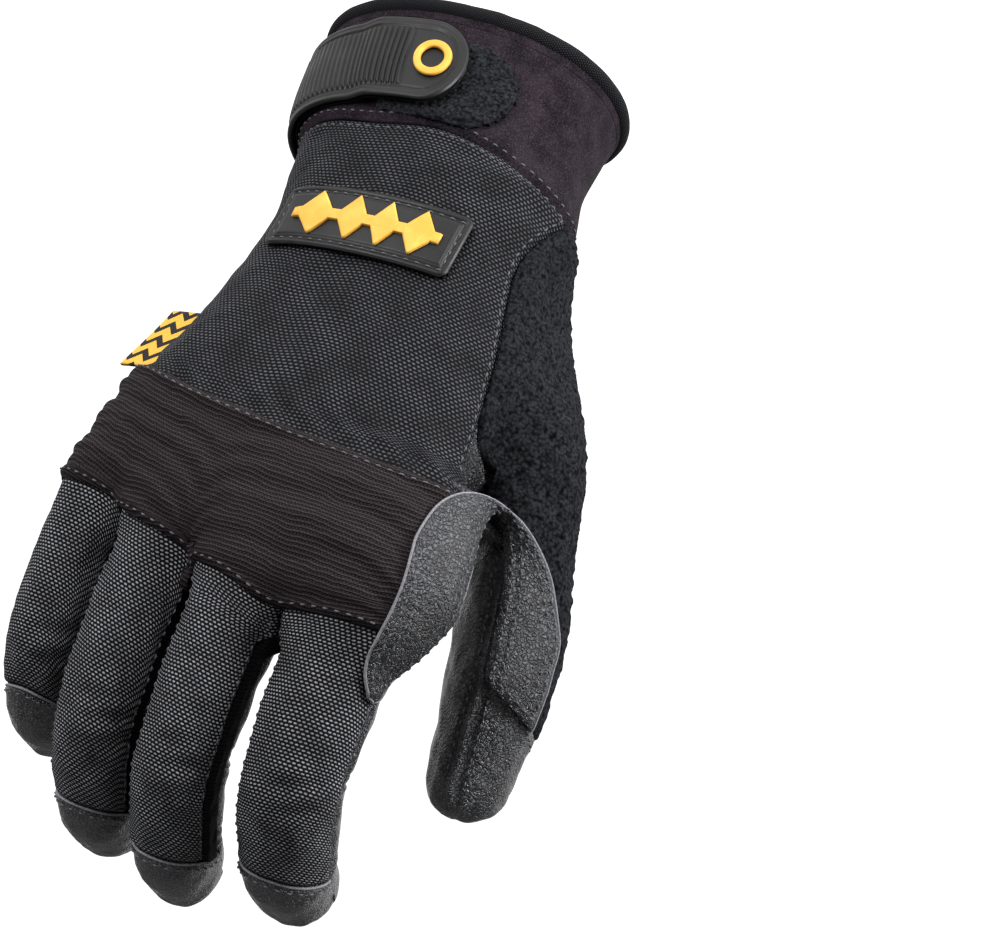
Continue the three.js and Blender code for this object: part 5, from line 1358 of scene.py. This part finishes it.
def build_badge(s):
    """Rubber badge with a raised border and a stitched groove; on it a generic bar with four diamonds."""
    r = 30.0
    wide = (BADGE["right"] - BADGE["left"]) * DEG * r
    tall = BADGE["high"] - BADGE["low"]
    base = GAP + BADGE["thick"]

    def place(x, y, h):
        return outward(BADGE["low"] + y, BADGE["left"] * DEG + x / r, h)

    def round_box(x, y, w, t, corner):
        qx, qy = np.abs(x - wide / 2) - (w / 2 - corner), np.abs(y - tall / 2) - (t / 2 - corner)
        return corner - np.hypot(np.maximum(qx, 0), np.maximum(qy, 0)) - np.minimum(np.maximum(qx, qy), 0)

    x, y = np.linspace(0, wide, 240)[None], np.linspace(0, tall, 90)[:, None]
    x, y = x + 0 * y, y + 0 * x
    corner = 2.2
    cx = np.clip(corner - np.minimum(x, wide - x), 0, corner)
    cy = np.clip(corner - np.minimum(y, tall - y), 0, corner)
    over = np.hypot(cx, cy) - corner
    inward = np.where(y < tall / 2, 1, -1) * (cy - np.sqrt(np.clip(corner**2 - cx**2, 0, None))).clip(0)
    y = np.where((over > 0) & (cx > 0), y + inward, y)
    edge = round_box(x, y, wide, tall, corner)
    h = base - 0.45 + 0.45 * ease(edge / 0.7)
    h = h - 0.4 * np.exp(-(((edge - 1.7) / 0.45) ** 2)) + 0.25 * ease((edge - 2.5) / 0.5)
    panel = Panel(place(x, y, h))
    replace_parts(mesh_object("badge_rubber", [panel], look("rubber"), BADGE["thick"] - 0.3), "badge_patch")
    k = np.linspace(0, 1, 400, endpoint=False)
    ins = 1.7
    w, t = wide - 2 * ins, tall - 2 * ins
    run = k * 2 * (w + t)
    px = np.select([run < w, run < w + t, run < 2 * w + t], [run, w, 2 * w + t - run], 0.0)
    py = np.select([run < w, run < w + t, run < 2 * w + t], [0.0, run - w, t], 2 * (w + t) - run)
    px, py = px + ins, py + ins
    low = place(px, py, base - 0.3 + 0 * px)
    dirs = unit(place(px, py, 1 + 0 * px) - place(px, py, 0 * px))
    stitches("badge_thread", [(low, dirs)], look("thread"), "rubber", s)

    top = base + GAP + BADGE["relief"]
    pieces = []

    def boss(outline_x, outline_y):
        """Raised boss inside a closed outline: it shrinks to its middle with a rounded shoulder."""
        q = np.array([1.0, 1.0, 0.97, 0.9, 0.78, 0.6, 0.4, 0.2, 0.0])[:, None]
        high = np.array([-0.8, -0.3, -0.08, 0, 0, 0, 0, 0, 0])[:, None]
        mx, my = outline_x.mean(), outline_y.mean()
        panel = Panel(place(mx + (outline_x - mx) * q, my + (outline_y - my) * q, top + high + 0 * outline_x))
        if (panel.n @ np.array([0, -1, 0])).mean() < 0:
            panel = Panel(panel.p[:, ::-1])
        pieces.append(panel)

    bar = np.array([(0.09, 0.42), (0.91, 0.42), (0.91, 0.58), (0.09, 0.58), (0.09, 0.42)]) * [wide, tall]
    fine = resample(np.c_[bar, 0 * bar[:, :1]], 1.2)
    boss(fine[:, 0][None], fine[:, 1][None])
    for c in (0.2, 0.4, 0.6, 0.8):
        dia = np.array([(c, 0.14), (c + 0.096, 0.5), (c, 0.86), (c - 0.096, 0.5), (c, 0.14)]) * [wide, tall]
        fine = resample(np.c_[dia, 0 * dia[:, :1]], 0.8)
        boss(fine[:, 0][None], fine[:, 1][None])
    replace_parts(mesh_object("badge_bosses", pieces, look("yellow"), 0), "badge_relief")


PALM_TREE = []


def palm_tree():
    """Search tree of the palm side without creases, on which the pads are seated."""
    if not PALM_TREE:
        verts, faces, base = [], [], 0
        for name in ORDER:
            ray = RAYS[name]
            stop = ray.station(165 if name != "thumb" else 150)
            count = int((stop - ray.station(47)) / 2)
            first = ray.station(47)
            ends = (lambda u, first=first: first + 0 * u, lambda u, stop=stop: stop + 0 * u)
            panel, _, _ = strip(name, True, *ends, np.linspace(0, 1, count), 40)
            rows, cols = panel.p.shape[:2]
            idx = np.arange(rows * cols).reshape(rows, cols) + base
            verts.append(panel.p.reshape(-1, 3))
            faces.append(np.stack([idx[:-1, :-1], idx[:-1, 1:], idx[1:, 1:], idx[1:, :-1]], -1).reshape(-1, 4))
            base += rows * cols
        PALM_TREE.append(BVHTree.FromPolygons(np.concatenate(verts).tolist(), np.concatenate(faces).tolist()))
    return PALM_TREE[0]


def seat(x, z):
    """Height y of the palm under each point, smoothed over neighbours, or the nearest found."""
    tree = palm_tree()
    y = np.empty(x.shape)
    for i in np.ndindex(x.shape):
        hit = tree.ray_cast((x[i], 90.0, z[i]), (0, -1, 0))[0]
        y[i] = hit.y if hit is not None else np.nan
    return y


def build_pads(s):
    """Padded pads: outline |a|^n + |b|^n = 1, a flat stitched flange, a groove and a dome
    h = dome * sqrt(1 - m^2.6), where m runs from 1 at the flange to 0 farthest from the outline."""
    for label, q in PADS.items():
        turns, steps = 220, 64
        a = np.linspace(0, 2 * math.pi, turns + 1)[None]
        k = np.r_[np.linspace(0.0, 1, steps), 1.0, 1.0, 1.0][:, None]
        down = np.r_[np.zeros(steps), 0.35, 0.8, 1.5][:, None]
        c, d = np.cos(a), np.sin(a)
        hx, hz = np.where(c < 0, q["left"], q["right"]), np.where(d < 0, q["low"], q["high"])
        n = q["square"]
        r = (np.abs(c) ** n + np.abs(d) ** n) ** (-1 / n)
        across, along = hx * c * r * k, hz * d * r * k
        x, z = q["x"] + across + q["lean"] * along, q["z"] + along + q["tilt"] * across
        y = seat(x, z)
        for row in range(1, len(y)):
            y[row] = np.where(np.isnan(y[row]), y[row - 1], y[row])
        for _ in range(3):
            y[1:-1] = 0.25 * y[:-2] + 0.5 * y[1:-1] + 0.25 * y[2:]
            y[:, 1:-1] = 0.25 * y[:, :-2] + 0.5 * y[:, 1:-1] + 0.25 * y[:, 2:]
            y[:, 0] = y[:, -1] = 0.5 * (y[:, 1] + y[:, -2])
        y[0] = y[0].mean()
        rim_x, rim_z = (np.interp(np.arange(0, turns, 0.25), np.arange(turns + 1), v[-1]) for v in (x, z))
        edge = np.array([np.hypot(u[:, None] - rim_x, v[:, None] - rim_z).min(1) for u, v in zip(x, z)])
        flange = s.flange / MM
        inner = np.clip(1 - (edge - flange) / (edge.max() - flange), 0, 1)
        dome = q["dome"] * s.pad_height * np.sqrt(np.clip(1 - inner**2.6, 0, 1)) * (edge > flange)
        groove = -0.75 * np.exp(-(((edge - flange) / 0.8) ** 2))
        rim = -0.35 * np.exp(-((edge / 0.6) ** 2))
        pucker = 0.1 * np.sin(a * 46) * np.exp(-(((edge - flange - 1.4) / 1.2) ** 2)) * s.wrinkle
        base = Panel(np.stack([x, y, z], -1))
        base.n[:1] = unit(base.n[1:2].mean(1, keepdims=True))
        lift = base.n * (GAP + PAD_EDGE + dome + groove + rim + pucker - down)[..., None]
        panel = Panel(base.p + lift)
        panel.n[:1] = unit(panel.n[1:2].mean(1, keepdims=True))
        soft = 0.22 * s.wrinkle * wobble(panel.p, 11, 111) * ease(edge / 5)
        panel.push(soft).settle()
        pad = mesh_object(f"{label}_pad_leather", [panel], look("pad"), 0)
        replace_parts(pad, f"{label}_pad")
        rows = []
        for at in (1.6, flange - 1.3):
            path, dirs = [], []
            for j in range(turns):
                e = np.maximum.accumulate(edge[: steps, j][::-1])
                i = np.interp(at, e, np.arange(steps)[::-1])
                lo = int(i)
                path.append(lerp(panel.p[lo, j], panel.p[min(lo + 1, steps - 1), j], i - lo))
                dirs.append(panel.n[lo, j])
            rows.append((np.array(path), np.array(dirs)))
        stitches(f"{label}_pad_thread", rows, look("thread"), "leather", s)


def build_tag(s):
    """Ribbon tag: a strip folded once at its outer end and caught in the little finger seam."""
    d = np.array([math.cos(TAG["turn"] * DEG), math.sin(TAG["turn"] * DEG), 0])
    n = np.array([d[1], -d[0], 0])
    z = np.linspace(TAG["low"] + 0.15, TAG["high"] - 0.15, 30)
    foot = ring(z, np.full(z.shape, (ULNAR_SEAM - 4) * DEG))
    a = np.linspace(-90, 90, 15) * DEG
    half = TAG["thick"] / 2
    bend = TAG["out"] - half
    run = [np.linspace(0.6, bend, 20)[:-1], bend + half * np.cos(a), np.linspace(bend, 0.6, 20)[1:]]
    run = np.concatenate(run)
    side = np.concatenate([np.full(19, half), -half * np.sin(a), np.full(19, -half)])
    curl = 0.35 * np.sin(run / TAG["out"] * 2.4)
    p = foot[:, None] + d * run[None, :, None] + n * (side + curl * s.wrinkle - half)[None, :, None]
    panel = Panel(p)
    if (panel.n[:, 5] @ n).mean() < 0:
        panel = Panel(p[:, ::-1])
        run = run[::-1]
    uv = (run - TAG["out"] / 2, (z - TAG["low"])[:, None])
    panel.uv = np.stack([np.broadcast_to(v, panel.p.shape[:2]) for v in uv], -1)
    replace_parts(mesh_object("tag_ribbon", [panel], look("ribbon"), 0.35), "side_tag")


# Camera of the photo: direction and roll in degrees, distance and target in mm, lens and sensor in mm
VIEW = dict(az=-19.9, el=26.3, roll=203.5, dist=520, target=(-49.7, -12.6, 108.7), lens=86.72, sensor=36)


def place_camera():
    """Camera matrix from azimuth, elevation, roll, distance and target."""
    az, el, roll = (VIEW[k] * DEG for k in ("az", "el", "roll"))
    back = np.array([math.sin(az) * math.cos(el), -math.cos(az) * math.cos(el), math.sin(el)])
    right = unit(np.cross(-back, [0, 0, 1.0]))
    up = np.cross(right, -back)
    r = math.cos(roll) * right + math.sin(roll) * up
    u = -math.sin(roll) * right + math.cos(roll) * up
    at = (np.array(VIEW["target"]) + back * VIEW["dist"]) * MM
    data = bpy.data.cameras.new("photo_view")
    data.lens, data.sensor_width, data.clip_start, data.clip_end = VIEW["lens"], VIEW["sensor"], 0.01, 50
    cam = bpy.data.objects.new("photo_view", data)
    cam.matrix_world = Matrix([[r[i], u[i], back[i], at[i]] for i in range(3)] + [[0, 0, 0, 1]])
    bpy.context.scene.collection.objects.link(cam)
    bpy.context.scene.camera = cam
    return r, u, back


def build_stage(s):
    """Pale floor far below, a bright even world and soft lamps set relative to the photo's view."""
    r, u, back = place_camera()
    size, drop = 8.0, -0.45
    mesh = bpy.data.meshes.new("floor")
    corners = [(-size, -size, drop), (size, -size, drop), (size, size, drop), (-size, size, drop)]
    mesh.from_pydata(corners, [], [(0, 1, 2, 3)])
    floor = bpy.data.objects.new("floor", mesh)
    n = Nodes("floor_matt_white")
    n.shader.inputs["Emission Color"].default_value = (1, 1, 1, 1)
    n.shader.inputs["Emission Strength"].default_value = 1.0
    mesh.materials.append(n.finish(hex_colour("f4f4f4"), 0.95, specular=0.0))
    bpy.context.scene.collection.objects.link(floor)
    world = bpy.data.worlds.new("studio")
    bpy.context.scene.world = world
    world.use_nodes = True
    world.node_tree.nodes["Background"].inputs["Color"].default_value = (1, 1, 1, 1)
    world.node_tree.nodes["Background"].inputs["Strength"].default_value = s.world
    target = np.array([-5.0, -10.0, 100.0]) * MM
    lamps = {
        "key": (-0.5 * r + 0.7 * u + 0.7 * back, 0.7, s.key, 0.35),
        "side": (1.0 * r + 0.25 * u + 0.3 * back, 0.7, 1.3 * s.key, 0.22),
        "rim": (0.3 * r + 1.0 * u - 0.1 * back, 0.7, 0.7 * s.key, 0.5),
    }
    for name, (d, far, power, width) in lamps.items():
        data = bpy.data.lights.new(name, "AREA")
        data.energy, data.size = power, width
        lamp = bpy.data.objects.new(name, data)
        z = unit(np.array(d))
        x = unit(np.cross([0.1, 0.2, 1.0], z))
        y = np.cross(z, x)
        at = target + z * far
        lamp.matrix_world = Matrix([[x[i], y[i], z[i], at[i]] for i in range(3)] + [[0, 0, 0, 1]])
        bpy.context.scene.collection.objects.link(lamp)
    bpy.context.scene.view_settings.view_transform = "Standard"


class GloveSettings(bpy.types.PropertyGroup):
    """Sizes and amounts used by the operators."""

    wrinkle: FloatProperty(name="Wrinkles", description="Amount of folds and creases", default=1.0, min=0, max=2)
    stitch_pitch: FloatProperty(
        name="Stitch pitch", description="Length of one stitch and its gap", default=0.0026, unit="LENGTH")
    thread: FloatProperty(name="Thread", description="Thickness of the sewing thread", default=0.0005, unit="LENGTH")
    flange: FloatProperty(
        name="Pad flange", description="Width of the flat stitched edge of a pad", default=0.0052, unit="LENGTH")
    pad_height: FloatProperty(
        name="Pad fill", description="Height of the pad domes as a share of their full height",
        default=1.0, subtype="FACTOR", max=1)
    world: FloatProperty(name="World", description="Strength of the even light", default=0.26, min=0)
    key: FloatProperty(name="Key lamp", description="Power of the main lamp in watts", default=5.0, unit="POWER")


def make_operator(idname, label, doc, build):
    """Operator class that runs one build function with the scene's settings."""

    def execute(self, context):
        build(context.scene.glove)
        return {"FINISHED"}

    return type("GLOVE_OT_" + idname, (bpy.types.Operator,), {
        "__doc__": doc, "bl_idname": "glove." + idname, "bl_label": label, "bl_options": {"REGISTER", "UNDO"}, "execute": execute})


STEPS = [
    make_operator("palm", "Palm leather", "Builds the palm leather, its fingertips and stitching", build_palm),
    make_operator("back", "Back panel", "Builds the woven back panel", build_back),
    make_operator("band", "Knuckle band", "Builds the gathered knuckle band", build_band),
    make_operator("fingers", "Finger backs", "Builds the woven finger backs", build_finger_backs),
    make_operator("gussets", "Gussets", "Builds the strips between the fingers", build_gussets),
    make_operator("thumb", "Thumb", "Builds the terry strip and the leather tip of the thumb", build_thumb),
    make_operator("patch", "Crotch patch", "Builds the patch between thumb and index finger", build_patch),
    make_operator("cuff", "Cuff", "Builds the cuff and its binding", build_cuff),
    make_operator("slit", "Slit", "Builds the gusset and rolled edge of the slit", build_slit),
    make_operator("strap", "Strap", "Builds the strap, its emblem and the loop patch", build_strap),
    make_operator("badge", "Badge", "Builds the badge and its relief", build_badge),
    make_operator("pads", "Palm pads", "Builds the three padded pads", build_pads),
    make_operator("tag", "Side tag", "Builds the ribbon tag", build_tag),
    make_operator("stage", "Stage", "Sets the floor, light and camera", build_stage),
]


class GLOVE_PT_panel(bpy.types.Panel):
    """Sidebar panel with the settings and the steps."""

    bl_label = "Work Glove"
    bl_idname = "GLOVE_PT_panel"
    bl_space_type = "VIEW_3D"
    bl_region_type = "UI"
    bl_category = "Glove"

    def draw(self, context):
        for key in GloveSettings.__annotations__:
            self.layout.prop(context.scene.glove, key)
        for step in STEPS:
            self.layout.operator(step.bl_idname)


def register():
    for cls in (GloveSettings, GLOVE_PT_panel, *STEPS):
        bpy.utils.register_class(cls)
    bpy.types.Scene.glove = PointerProperty(type=GloveSettings)


def unregister():
    del bpy.types.Scene.glove
    for cls in (GloveSettings, GLOVE_PT_panel, *STEPS):
        bpy.utils.unregister_class(cls)


def main():
    register()
    for step in STEPS:
        getattr(bpy.ops.glove, step.bl_idname.split(".")[1])()


if __name__ == "__main__":
    main()
